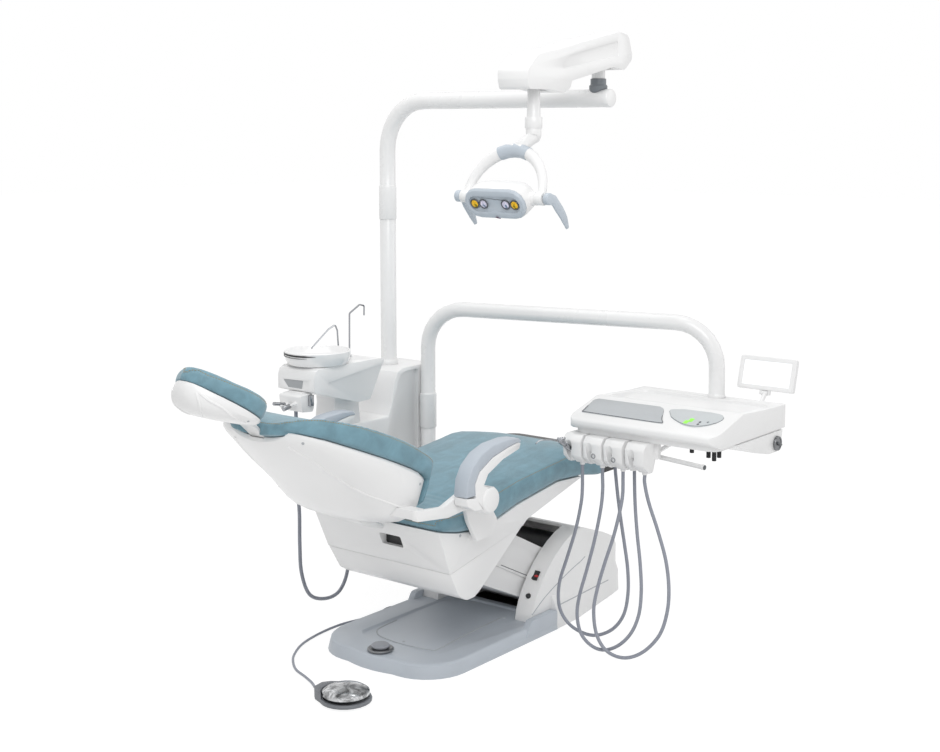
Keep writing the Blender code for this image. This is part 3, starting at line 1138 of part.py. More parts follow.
def cuspidor_arm():
    """Arm over the ledge: tapered body with a side panel, an end window and its pillar."""
    y0, y1 = CUSPIDOR_Y
    top = BOWL_BASE_Z - GAP
    outline = rounded([(-0.406, 0.816), (-0.406, top), (-0.100, top), (-0.041, 0.892),
                       (-0.117, 0.753), (-0.178, 0.751), (-0.330, 0.794)],
                      [0.006, 0.030, 0.0, 0.008, 0.012, 0.012, 0.0])
    shell = bevelled(slab(outline, y0, y1, "xz"), 0.012, 2)
    side = rounded([(-0.338, 0.842), (-0.040, 0.875), (-0.100, 0.740), (-0.180, 0.736),
                    (-0.338, 0.778)], [0.010, 0.004, 0, 0, 0])
    panel = slab(side, y0 - 0.020, y0 + 0.004, "xz")
    window = slab([(0.452, 0.855), (0.576, 0.851), (0.551, 0.824), (0.452, 0.824)],
                  -0.420, -0.403, "yz")
    tray_rim = slab(rounded([(-0.160, 0.455), (-0.062, 0.455), (-0.062, 0.572),
                             (-0.160, 0.572)], 0.020), top - 0.002, top + 0.010, "xy")
    pillar = loft([[(x * 1.0 - 0.170, y + 0.540, z) for x, y in rounded(
        [(-w, -d), (w, -d), (w, d), (-w, d)], 0.018)]
        for w, d, z in ((0.068, 0.052, 0.790), (0.066, 0.051, 0.740),
                        (0.072, 0.055, LEDGE_TOP_Z + GAP))])
    sockets = [cylinder(foot - Vector((0, 0, GAP)), foot + Vector((0, 0, 0.030)),
                        COLLAR_RADIUS + GAP, 12) for foot in (FILLER_FOOT, FLUSH_FOOT)]
    mesh = cut(join(shell, pillar), panel, window, tray_rim, *sockets)
    add("cuspidor_arm", mesh, WHITE, "seat")


def rinse_bowl():
    """Shallow bowl with a rolled rim that turns on the arm to be lifted off."""
    profile = [(0.0, 0.9110), (0.050, 0.9130), (0.088, 0.9190), (0.104, 0.9290),
               (0.1120, 0.9430), (0.1150, BOWL_RIM_Z), (BOWL_RADIUS, 0.9430),
               (BOWL_RADIUS - 0.0005, 0.9300), (0.1130, 0.9120), (0.1070, 0.9000),
               (0.1000, BOWL_BASE_Z), (0.0, BOWL_BASE_Z)]
    mesh = turned(profile, BOWL_CENTRE, (0, 0, 1), 24)
    add("rinse_bowl", mesh, CERAMIC, "rinse_bowl")


def water_tubes():
    """Cup filler and bowl flush tube, each bent from thin bright tube on a round foot."""
    filler = tube(bent_path([FILLER_FOOT, (-0.098, 0.545, 1.052), (-0.040, 0.549, 1.078),
                             (-0.014, 0.550, 1.072), (-0.015, 0.550, 1.036)], 0.008, 3),
                  FILLER_RADIUS, 1)
    collar = cylinder(FILLER_FOOT, FILLER_FOOT + Vector((0, 0, 0.012)), COLLAR_RADIUS, 12)
    add("cup_filler", join(filler, collar), STEEL, "seat")
    flush = tube(bent_path([FLUSH_FOOT, (-0.171, 0.537, 0.998), (-0.182, 0.537, 1.020),
                            (-0.216, 0.536, 1.008), (-0.308, 0.532, 0.950)], 0.008, 3),
                 FLUSH_RADIUS, 1)
    collar = cylinder(FLUSH_FOOT, FLUSH_FOOT + Vector((0, 0, 0.010)), COLLAR_RADIUS, 12)
    add("flush_tube", join(flush, collar), STEEL, "seat")


def suction():
    """Holder under the arm's end with two valves and a strainer cup, and its hose."""
    top = 0.8135
    neck = box((-0.420, 0.470, 0.806), (-0.396, 0.540, top), 0.002)
    block = slab(rounded([(-0.438, 0.750), (-0.446, 0.806), (-0.388, 0.812),
                          (-0.378, 0.760), (-0.386, 0.745)], 0.006), 0.452, 0.556, "xz")
    block = join(bevelled(block, 0.005, 1), neck)
    valves = []
    for y, z, reach in ((0.478, 0.776, 0.026), (0.520, 0.768, 0.034)):
        start = Vector((-0.436, y, z))
        valves += [cylinder(start, start + Vector((-0.010, -0.003, 0.001)), 0.0125, 10),
                   cylinder(start, start + Vector((-reach, -0.010, 0.004)), 0.0075, 8),
                   cylinder(start + Vector((-reach, -0.010, 0.004)),
                            start + Vector((-reach - 0.016, -0.013, 0.006)), 0.0045, 8)]
    cup = turned([(0, 0.797), (0.009, 0.796), (0.0125, 0.789), (0.0125, 0.772),
                  (0.009, 0.762), (0, 0.759)], (-0.3615, 0.505, 0), (0, 0, 1), 12)
    bridge = cylinder((-0.395, 0.505, 0.782), (-0.3615, 0.505, 0.782), 0.006, 10)
    gland = cylinder((-0.405, 0.515, 0.7450), (-0.405, 0.515, 0.760), 0.0095, 14)
    add("suction_holder", join(block, *valves, cup, bridge, gland), WHITE, "seat")
    add("suction_hose", tube(curve_through(SUCTION_ROUTE, 38), SUCTION_RADIUS, 2), HOSE, "seat")


def light_pole():
    """Fixed lower pole in the column, and the upper pole that swivels on it."""
    lower = cylinder(POLE + Vector((0, 0, COLUMN_Z[1] + GAP)),
                     POLE + Vector((0, 0, POLE_JOINT_Z - GAP)), POLE_RADIUS, 24)
    skirt = turned([(0, 0.850), (POLE_RADIUS, 0.850), (0.0325, 0.848), (0.035, 0.842),
                    (0.036, COLUMN_Z[1] + GAP), (0, COLUMN_Z[1] + GAP)], POLE, (0, 0, 1), 24)
    add("light_pole_lower", join(lower, skirt), WHITE, "seat")
    path = bent_path([POLE + Vector((0, 0, POLE_JOINT_Z + 0.002)), POLE + Vector((0, 0, POLE_TOP_Z)),
                      (POLE.x, POLE_END_Y + 0.010, POLE_TOP_Z)], POLE_BEND, 7)
    upper = tube(path, POLE_RADIUS, 4)
    collar = turned([(0, POLE_COLLAR_Z), (0.0312, POLE_COLLAR_Z), (0.0328, POLE_COLLAR_Z - 0.005),
                     (0.0328, POLE_JOINT_Z), (0, POLE_JOINT_Z)], POLE, (0, 0, 1), 24)
    end = turned([(0, 0.000), (0.0285, 0.000), (0.0307, -0.004), (0.0307, -0.020), (0, -0.020)],
                 (POLE.x, POLE_END_Y, POLE_TOP_Z), (0, -1, 0), 24)
    add("light_pole_upper", join(upper, collar, end), WHITE, "lamp_pole")


def lamp_saddle():
    """Collar that straddles the pole, and the stub that turns on it under the lamp arm."""
    collar = turned([(0, STUB_FOOT_Z), (0.0262, STUB_FOOT_Z), (0.0262, 1.866), (0.0305, 1.861),
                     (0.0305, 1.850), (0.0200, 1.8275), (0, 1.8275)],
                    LAMP_STUB, (0, 0, 1), 20)
    seat = cylinder(LAMP_STUB + Vector((0, 0.08, POLE_TOP_Z)),
                    LAMP_STUB + Vector((0, -0.08, POLE_TOP_Z)), POLE_RADIUS + 2 * GAP, 28)
    add("lamp_saddle", cut(collar, seat), WHITE, "lamp_pole")
    stub = turned([(0, STUB_TOP_Z), (STUB_RADIUS, STUB_TOP_Z), (STUB_RADIUS, STUB_FOOT_Z + GAP),
                   (0, STUB_FOOT_Z + GAP)], LAMP_STUB, (0, 0, 1), 20)
    knuckle = cylinder(LAMP_STUB + Vector((0, -KNUCKLE_HALF_Y, STUB_KNUCKLE_Z)),
                       LAMP_STUB + Vector((0, KNUCKLE_HALF_Y, STUB_KNUCKLE_Z)), 0.014, 12)
    web = box(LAMP_STUB + Vector((-0.010, -0.012, STUB_TOP_Z - 0.002)),
              LAMP_STUB + Vector((0.010, 0.012, STUB_KNUCKLE_Z)))
    add("lamp_stub", join(stub, web, knuckle), WHITE, "lamp_stub")


def lamp_arm():
    """Hollow balanced arm: a tapered cover with a nose, creases and two bearing pockets."""
    y = LAMP_STUB.y
    outline = rounded([(-0.317, 1.871), (-0.317, 1.899), (-0.262, 1.949), (-0.164, 1.965),
                       (0.196, 2.039), (0.252, 2.032), (0.277, 1.970), (0.275, 1.949),
                       (0.229, 1.913), (0.168, 1.923), (-0.078, 1.871), (-0.088, 1.847),
                       (-0.124, 1.832), (-0.203, 1.842), (-0.309, 1.840)],
                      [0.006, 0.020, 0.060, 0.060, 0.030, 0.020, 0.020, 0.012, 0.022,
                       0.020, 0.008, 0.016, 0.018, 0.0, 0.012])
    shell = bevelled(slab(outline, y - LAMP_ARM_HALF_Y, y + LAMP_ARM_HALF_Y, "xz"), 0.018, 2)
    side = rounded([(-0.150, 1.902), (-0.096, 1.950), (0.188, 2.008), (0.190, 1.958)],
                   [0.008, 0.030, 0.003, 0.003])
    near = slab(side, y - LAMP_ARM_HALF_Y - 0.020, y - LAMP_ARM_HALF_Y + 0.003, "xz")
    far = slab(side, y + LAMP_ARM_HALF_Y - 0.003, y + LAMP_ARM_HALF_Y + 0.020, "xz")
    stub_pocket = box((LAMP_STUB.x - 0.048, y - KNUCKLE_HALF_Y - GAP, 1.880),
                      (LAMP_STUB.x + 0.048, y + KNUCKLE_HALF_Y + GAP, STUB_KNUCKLE_Z + 0.020))
    post_pocket = box((LAMP_POST.x - 0.046, y - KNUCKLE_HALF_Y - GAP, 1.810),
                      (LAMP_POST.x + 0.046, y + KNUCKLE_HALF_Y + GAP, POST_KNUCKLE_Z + 0.030))
    add("lamp_arm_cover", cut(shell, near, far, stub_pocket, post_pocket), WHITE, "lamp_arm")


def lamp_post():
    """Hanging post that stays upright as the arm tilts, with a collar at its foot."""
    low, high = POST_COLLAR_Z
    post = turned([(0, POST_KNUCKLE_Z - 0.006), (0.018, POST_KNUCKLE_Z - 0.006),
                   (LAMP_POST_RADIUS, POST_KNUCKLE_Z - 0.010), (LAMP_POST_RADIUS, 1.835),
                   (LAMP_POST_RADIUS + 0.0015, high), (POST_COLLAR_RADIUS - 0.001, high),
                   (POST_COLLAR_RADIUS, high - 0.0015), (POST_COLLAR_RADIUS, low + 0.0015),
                   (POST_COLLAR_RADIUS - 0.001, low), (0, low)], LAMP_POST, (0, 0, 1), 20)
    knuckle = cylinder(LAMP_POST + Vector((0, -KNUCKLE_HALF_Y, POST_KNUCKLE_Z)),
                       LAMP_POST + Vector((0, KNUCKLE_HALF_Y, POST_KNUCKLE_Z)), 0.014, 16)
    add("lamp_post", join(post, knuckle), WHITE, "lamp_post")


def lamp_yoke():
    """Elbow and tapering C-shaped yoke, with an eye for each trunnion of the lamp head."""
    top = LAMP_POST + Vector((0, 0, POST_COLLAR_Z[0] - GAP))
    elbow = swept(bent_path([top, top + Vector((0, 0, -0.026)),
                             YOKE_TOP + Vector((0.006, -0.002, 0.003))], 0.012, 5),
                  [(0.0250, 0.0250), (0.0250, 0.0250), (0.0235, 0.0235), (0.0190, 0.0190)],
                  (0, 1, 0), 14)
    y0, y1 = YOKE_EYE_Y
    middle = (y0 + y1) / 2 + 0.0014
    rise = YOKE_TOP - LAMP_HEAD
    arc = []
    for k in range(17):
        turn = math.pi * k / 16
        arc.append(LAMP_HEAD + Vector((0, -middle * math.cos(turn), 0)) + rise * math.sin(turn))
    arch = swept(arc, [(0.0125, 0.0125), (0.0150, 0.0165), (0.0175, 0.0200), (0.0185, 0.0215),
                       (0.0175, 0.0200), (0.0150, 0.0165), (0.0125, 0.0125)], (1, 0, 0.3), 12)
    pieces = [elbow]
    bores = []
    for sign in (-1, 1):
        near = LAMP_HEAD + Vector((0, sign * y0, 0))
        far = LAMP_HEAD + Vector((0, sign * y1, 0))
        pieces.append(cylinder(near, far, 0.0205, 16))
        out = Vector((0, sign * 0.020, 0))
        bores.append(cylinder(near - out, far + out, TRUNNION_RADIUS + GAP, PIN_SIDES))
    add("lamp_yoke", cut(join(arch, *pieces), *bores), WHITE, "lamp_yoke")


def stadium(half_y, half_z, x, count=7):
    """A long round-ended ring in the plane across X."""
    reach = half_y - half_z
    ring = []
    for sign in (1, -1):
        for k in range(count + 1):
            turn = math.pi / 2 - math.pi * k / count
            ring.append((x, sign * (reach + half_z * math.cos(turn)),
                         sign * half_z * math.sin(turn)))
    return ring


def on_head(mesh):
    """From the lamp head's own frame, front towards -X, to its tilted place."""
    mesh.transform(Matrix.Translation(LAMP_HEAD) @ Matrix.Rotation(-LAMP_TILT, 4, "Y"))
    return mesh


def lamp_head():
    """Lamp body with its trunnions, the front bezel, four lenses and two handles."""
    length = LAMP_HEAD_HALF_Y
    shell = loft([stadium(length - dy, 0.050 - dz, x) for dy, dz, x in (
        (0.0, 0.0, -0.0380), (-0.002, -0.002, -0.015), (0.001, 0.000, 0.010),
        (0.010, 0.005, 0.026), (0.026, 0.014, 0.040), (0.050, 0.027, 0.048))])
    pieces = []
    for sign in (-1, 1):
        pieces.append(cylinder((0, sign * 0.095, 0), (0, sign * (YOKE_EYE_Y[0] - GAP), 0),
                               0.0215, 18))
        pieces.append(cylinder((0, sign * 0.110, 0), (0, sign * (YOKE_EYE_Y[1] + 0.0040), 0),
                               TRUNNION_RADIUS, PIN_SIDES))
    add("lamp_head", on_head(join(shell, *pieces)), WHITE, "lamp_head")
    front = -0.0500
    bezel = loft([stadium(length - dy, 0.050 - dy, x) for dy, x in (
        (0.001, -0.0380 - GAP), (0.001, -0.0440), (0.005, -0.0490), (0.009, front))])
    hollow = loft([stadium(0.100 - d, 0.030 - d, x) for d, x in ((0, -0.060), (0.004, -0.0440))])
    seats = [cylinder((-0.060, y, 0), (-0.0370, y, 0), 0.0135 + GAP, 18) for y in LENS_Y]
    back = box((-0.0425, -0.0953, -0.0173), (-0.0370, 0.0953, 0.0173))
    add("lamp_bezel", on_head(cut(bezel, hollow, *seats, back)), PAD, "lamp_head")
    carrier = box((-0.0420, -0.0950, -0.0170), (-0.0386, 0.0950, 0.0170))
    lenses = [turned([(0, 0.0075), (0.0060, 0.0068), (0.0105, 0.0045), (0.0135, 0.0010),
                      (0.0135, -0.0012), (0, -0.0012)], (-0.0410, y, 0), (-1, 0, 0), 16)
              for y in LENS_Y]
    add("lamp_lenses", on_head(join(carrier, *lenses)), LENS, "lamp_head")
    for name, sign in (("right", -1), ("left", 1)):
        y = sign * (YOKE_EYE_Y[1] + 0.0043)
        root = cylinder((0, y, 0), (0, y + sign * 0.020, 0), 0.0185, 16)
        path = curve_through([(-0.004, y + sign * 0.011, 0.0), (0.022, y + sign * 0.014, -0.012),
                              (0.050, y + sign * 0.017, -0.042), (0.070, y + sign * 0.018, -0.072),
                              (0.084, y + sign * 0.017, -0.100)], 9)
        blade = swept(path, [(0.0095, 0.0175), (0.0090, 0.0175), (0.0080, 0.0165),
                             (0.0070, 0.0140), (0.0040, 0.0070)], (0, 1, 0), 10)
        handle = join(bevelled(root, 0.003, 1), blade)
        add("lamp_handle_" + name, on_head(handle), PAD, "lamp_head")


def delivery_arm():
    """Sleeve on the delivery post, the tube over the chair and the spindle of the tray."""
    z0, z1 = SLEEVE_Z
    spindle_end = TRAY_POST + Vector((0, 0, TRAY_TOP_Z + GASKET_HEIGHT))
    path = bent_path([DELIVERY_POST + Vector((0, 0, z0 + 0.002)),
                      DELIVERY_POST + Vector((0, 0, DELIVERY_TOP_Z)),
                      TRAY_POST + Vector((0, 0, DELIVERY_TOP_Z)), spindle_end],
                     DELIVERY_BEND, 7)
    sleeve = turned([(0, z1), (0.030, z1), (SLEEVE_RADIUS, z1 - 0.002), (SLEEVE_RADIUS, z0),
                     (0, z0)], DELIVERY_POST, (0, 0, 1), 24)
    spindle = cylinder(spindle_end + Vector((0, 0, 0.010)), TRAY_POST + Vector((0, 0, 0.7020)),
                       SPINDLE_RADIUS, PIN_SIDES)
    nut = cylinder(TRAY_POST + Vector((0, 0, 0.6950)),
                   TRAY_POST + Vector((0, 0, TRAY_LIP_Z - GAP)), 0.024, 6)
    ring = turned([(0, 0.012), (0.0282, 0.012), (0.0300, 0.0080), (0.0315, 0.0), (0, 0.0)],
                  TRAY_POST + Vector((0, 0, TRAY_TOP_Z + GAP)), (0, 0, 1), 24)
    add("delivery_arm", join(tube(path, DELIVERY_RADIUS, 4), sleeve, ring, spindle, nut), WHITE,
        "delivery_arm")


def slope_z(x):
    """Height of the tray's front slope."""
    (x0, z0), (x1, z1) = TRAY_NOSE, TRAY_CREST
    return z0 + (z1 - z0) * (x - x0) / (x1 - x0)


def on_slope(outline, low, high):
    """A plate over the slope, its two faces set off from it."""
    mesh = slab(outline, low, high)
    for vert in mesh.vertices:
        vert.co.z += slope_z(vert.co.x)
    return mesh


def tray():
    """Instrument tray: sloped front, sunk top, lower lip, dial housing, drains, viewer stem."""
    y0, y1 = TRAY_Y
    rear = TRAY_REAR_X
    side = rounded([(0.046, TRAY_BOTTOM_Z), (-0.001, 0.742), TRAY_NOSE, TRAY_CREST,
                    (0.260, TRAY_TOP_Z + 0.008), (0.400, TRAY_TOP_Z), (rear, TRAY_TOP_Z),
                    (rear, TRAY_BOTTOM_Z)],
                   [0.020, 0.012, 0.010, 0.030, 0.0, 0.0, 0.010, 0.004])
    plan = rounded([(-0.004, y0), (rear, y0), (rear, y1), (-0.004, y1)],
                   [0.045, 0.020, 0.020, 0.045], 3)
    shell = common(slab(side, y0 - 0.01, y1 + 0.01, "xz"), slab(plan, 0.60, 0.90))
    shell = bevelled(shell, 0.007, 2, 50)
    lip = slab(rounded([(0.030, y0 + 0.010), (rear - 0.008, y0 + 0.010),
                        (rear - 0.008, y1 - 0.010), (0.030, y1 - 0.010)],
                       [0.035, 0.015, 0.015, 0.035], 2), TRAY_LIP_Z, 0.7400)
    floor_z = TRAY_TOP_Z - 0.009
    well = loft([[(x * k + 0.3215 * (1 - k), y * k - 0.6225 * (1 - k), z) for x, y in rounded(
        [(0.212, y0 + 0.032), (0.431, y0 + 0.032), (0.431, y1 - 0.030), (0.212, y1 - 0.030)],
        0.030, 3)] for k, z in ((0.985, floor_z), (1.0, floor_z + 0.009), (1.07, 0.845))])
    housing = bevelled(slab(rounded([(0.150, 0.716), (0.215, 0.694), (0.262, 0.672),
                                     (0.372, 0.648), (0.436, 0.6475), (0.462, 0.676),
                                     (0.470, 0.716)], [0, 0.02, 0.03, 0.02, 0.02, 0.02, 0]),
                            -0.902, -0.800, "xz"), 0.004, 1)
    stem = join(cylinder((0.478, -0.815, 0.790), VIEWER_HINGE - Vector((0.001, 0, 0.002)), 0.0075, 12),
                cylinder(VIEWER_HINGE - Vector((0, 0.011, 0)), VIEWER_HINGE + Vector((0, 0.011, 0)),
                         0.0085, 14))
    pin_bore = cylinder(VIEWER_HINGE - Vector((0, 0.05, 0)), VIEWER_HINGE + Vector((0, 0.05, 0)),
                        0.0035 + GAP, 12)
    bore = cylinder(TRAY_POST + Vector((0, 0, 0.60)), TRAY_POST + Vector((0, 0, 0.90)),
                    SPINDLE_RADIUS + GAP, PIN_SIDES)
    socket = cylinder(DIAL_CENTRE + Vector((0, -0.01, 0)), DIAL_CENTRE + Vector((0, 0.030, 0)),
                      0.0060 + GAP, 14)
    nipples = []
    for x, y, low in ((0.222, -0.698, 0.690), (0.230, -0.756, 0.684), (0.219, -0.783, 0.670),
                      (0.260, -0.779, 0.676)):
        nipples.append(cylinder((x, y, low), (x, y, TRAY_LIP_Z + 0.002), 0.0062, 10))
    mesh = join(cut(join(shell, lip), well, bore), cut(housing, socket), cut(stem, pin_bore),
                *nipples)
    add("tray", mesh, WHITE, "tray")


def tray_plates():
    """Bare label plate and the lens-shaped key panel on the slope."""
    label = rounded([(0.052, -0.372), (0.148, -0.360), (0.158, -0.372), (0.160, -0.612),
                     (0.146, -0.634), (0.110, -0.652), (0.076, -0.668), (0.050, -0.690)],
                    [0.004, 0.004, 0.004, 0.006, 0.010, 0.040, 0.010, 0.006])
    add("label_plate", on_slope(label, GAP, 0.0016), LABEL, "tray")
    panel = rounded([(0.150, -0.652), (0.164, -0.700), (0.166, -0.800), (0.160, -0.850),
                     (0.130, -0.862), (0.080, -0.842), (0.056, -0.800), (0.060, -0.756),
                     (0.095, -0.694)],
                    [0.008, 0.060, 0.060, 0.030, 0.030, 0.050, 0.050, 0.060, 0.060], 2)
    add("control_panel", on_slope(panel, GAP, 0.0018), PANEL, "tray")


def tray_fittings():
    """Brake dial and pull handle below the tray."""
    dial = turned([(0, 0.0055), (0.0185, 0.0055), (0.0200, 0.0090), (0.0240, 0.0085),
                   (0.0250, 0.0), (0.0060, 0.0), (0.0060, -0.0200), (0, -0.0200)],
                  DIAL_CENTRE + Vector((0, 0.0030 - GAP, 0)), (0, -1, 0), 24)
    add("brake_dial", dial, DARK, "brake_dial")
    path = bent_path([(0.300, -0.575, TRAY_LIP_Z - GAP), (0.300, -0.577, 0.655),
                      (0.165, -0.606, 0.655), (0.092, -0.646, 0.655), (0.050, -0.840, 0.655)],
                     0.022, 4)
    grip = cylinder((0.0515, -0.833, 0.655), (0.0495, -0.8425, 0.655), 0.0088, 14)
    add("tray_handle", join(tube(path, 0.0080, 2), grip), WHITE, "tray")


def film_viewer():
    """Back-lit frame for films that tilts on a pin through the tray's stem."""
    frame = slab(rounded([(-0.105, 0.000), (0.105, 0.000), (0.105, 0.114), (-0.105, 0.114)],
                         0.006), -0.009, 0.009, "yz")
    frame = bevelled(frame, 0.003, 2, 50)
    pocket = box((-0.020, -0.088, 0.0145), (-0.0055, 0.088, 0.0990))
    lugs = [box((-0.006, low, -0.0150), (0.006, low + 0.008, 0.006), 0.002)
            for low in (-0.0193, 0.0113)]
    pin = cylinder((0, -0.0160, -0.0090), (0, 0.0160, -0.0090), 0.0035, 12)
    screen = box((-0.0078, -0.0877, 0.0148), (-0.0058, 0.0877, 0.0987))
    place = (Matrix.Translation(VIEWER_HINGE) @ Matrix.Rotation(VIEWER_TILT, 4, "Y")
             @ Matrix.Translation((0, 0, 0.0090)))
    frame = join(cut(frame, pocket), *lugs, pin)
    frame.transform(place)
    screen.transform(place)
    add("film_viewer", frame, WHITE, "film_viewer")
    add("film_screen", screen, CERAMIC, "film_viewer")


def instrument_holders():
    """Four slotted holders on a bar under the tray's front edge, each with a hose gland."""
    bar = box((0.050, -0.670, 0.655), (0.072, -0.347, TRAY_LIP_Z - GAP), 0.002)
    blocks = [bar]
    slots = []
    for y in HOLDER_Y:
        outline = rounded([(0.000, 0.7110), (0.056, 0.7110), (0.056, 0.650), (0.042, HOLDER_FOOT_Z),
                           (0.018, HOLDER_FOOT_Z), (-0.014, 0.640), (-0.018, 0.690)],
                          [0.010, 0.004, 0.010, 0.008, 0.010, 0.012, 0.012])
        blocks.append(slab(outline, y - HOLDER_WIDTH, y, "xz"))
        blocks.append(cylinder((0.030, y - 0.047, HOLDER_FOOT_Z - 0.008),
                               (0.030, y - 0.047, HOLDER_FOOT_Z + 0.010), 0.0085, 10))
        middle = y - 0.022
        slots.append(cylinder((-0.030, middle, 0.6915), (0.032, middle, 0.600), 0.0125, 12))
        slots.append(box((-0.040, middle - 0.0085, 0.590), (0.016, middle + 0.0085, 0.660)))
    add("instrument_holders", cut(join(*blocks), *slots), WHITE, "tray")


def syringe():
    """Three-way syringe that rests in the first holder, with its fine bent nozzle."""
    y = HOLDER_Y[0] - 0.022
    foot, neck = Vector((0.010, y, 0.6480)), Vector((-0.053, y, 0.6910))
    along = (neck - foot).normalized()
    barrel = cylinder(foot, neck, 0.0070, 10)
    grip = cylinder(foot + along * 0.030, foot + along * 0.058, 0.0090, 10)
    head = cylinder(neck - along * 0.006, neck + along * 0.016, 0.0105, 10)
    nose = cylinder(neck + along * 0.015, neck + along * 0.030, 0.0075, 10, 0.0040)
    keys = [cylinder(neck + Vector((0.002, side * 0.005, 0.002)),
                     neck + Vector((0.008, side * 0.005, 0.0150)), 0.0038, 6)
            for side in (-1, 1)]
    tip = neck + along * 0.026
    nozzle = tube(curve_through([tip, (-0.096, y, 0.7050), (-0.121, y, 0.7100),
                                 (-0.156, y, 0.7160), (-0.186, y, 0.7170),
                                 (-0.203, y, 0.7110)], 14), 0.0021, 1)
    add("syringe", join(barrel, grip, head, nose, *keys, nozzle), STEEL, "tray")


def hoses():
    for number, route in enumerate(HOSE_ROUTES, 1):
        add(f"hose_{number}", tube(curve_through(route, 34), HOSE_RADIUS, 2), HOSE, "tray")


def foot_cord():
    """Air line on the floor between the plate's gland and the valve block."""
    add("foot_cord", tube(curve_through(CORD_ROUTE, 38), CORD_RADIUS, 2), HOSE, "base")


def main():
    clear_scene()
    make_bodies()
    base_plate()
    base_housing()
    power_switch()
    fuse_cap()
    foot_joystick()
    foot_control()
    lift_arm()
    seat_shell()
    seat_frame()
    seat_cushion()
    backrest_shell()
    hinge_arms()
    backrest_cushion()
    headrest_bar()
    headrest()
    armrests()
    unit_bracket()
    column()
    cuspidor_arm()
    rinse_bowl()
    water_tubes()
    suction()
    light_pole()
    lamp_saddle()
    lamp_arm()
    lamp_post()
    lamp_yoke()
    lamp_head()
    delivery_arm()
    tray()
    tray_plates()
    tray_fittings()
    film_viewer()
    instrument_holders()
    syringe()
    hoses()
    foot_cord()


main()
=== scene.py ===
"""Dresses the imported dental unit: painted mouldings, stitched upholstery, hoses, lamp
optics, keypad and trim, with a plain studio round it. Metres, +Z up."""

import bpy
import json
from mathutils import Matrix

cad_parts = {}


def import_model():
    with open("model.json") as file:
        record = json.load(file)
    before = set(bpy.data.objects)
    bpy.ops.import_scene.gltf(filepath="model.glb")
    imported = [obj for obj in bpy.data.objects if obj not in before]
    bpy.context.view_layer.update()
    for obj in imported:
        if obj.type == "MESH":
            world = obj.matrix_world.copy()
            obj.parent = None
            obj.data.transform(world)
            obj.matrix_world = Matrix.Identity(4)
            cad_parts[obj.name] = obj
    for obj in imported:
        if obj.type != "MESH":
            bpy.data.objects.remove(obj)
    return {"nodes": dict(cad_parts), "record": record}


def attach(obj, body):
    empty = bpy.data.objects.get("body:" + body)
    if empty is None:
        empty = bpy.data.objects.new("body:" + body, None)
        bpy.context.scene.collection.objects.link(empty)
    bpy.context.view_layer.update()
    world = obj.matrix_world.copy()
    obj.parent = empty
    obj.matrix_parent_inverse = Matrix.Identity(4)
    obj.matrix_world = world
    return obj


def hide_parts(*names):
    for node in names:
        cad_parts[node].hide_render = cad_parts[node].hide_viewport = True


bl_info = {
    "name": "Dental Unit Dressing",
    "version": (1, 0, 0),
    "blender": (4, 5, 0),
    "location": "3D View > Sidebar > Dental Unit",
    "description": "Finishes, upholstery, hoses and small fittings for a dental unit",
    "category": "Object",
}

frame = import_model()

import json
import math

import bmesh
import bpy
from bpy.props import FloatProperty, FloatVectorProperty, IntProperty, PointerProperty
from mathutils import Matrix, Vector
from mathutils.bvhtree import BVHTree

NODES = frame["nodes"]
RIDES_ON = {node: body for body, nodes in frame["record"]["behaviour"]["bodies"].items()
            for node in nodes}
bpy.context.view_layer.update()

WELD = 0.00002
SMOOTH_ANGLE = math.radians(36)
EASE_ANGLE = math.radians(42)
BEND_ANGLE = math.radians(30)
IMAGE_SIZE = (940, 752)

# Camera, fitted to the photograph's lines
CAMERA_PLACE = Vector((-3.924, -3.057, 1.72))
CAMERA_HEADING = math.radians(52.12)
CAMERA_PITCH = math.radians(6.0)
FOCAL_PIXELS = 1451.5
CENTRE_OFFSET = (15.4, -95.0)
SENSOR_WIDTH = 36.0

# Frames of the backrest and headrest: s runs up, t stands out
BACK_FRAME = (Vector((-0.62, 0.0, 0.6)), math.radians(21.0))
HEAD_FRAME = (Vector((-1.1495, 0.0, 0.9062)), math.radians(31.5))
SEAT_FRAME = (Vector((0.0, 0.0, 0.0)), 0.0)

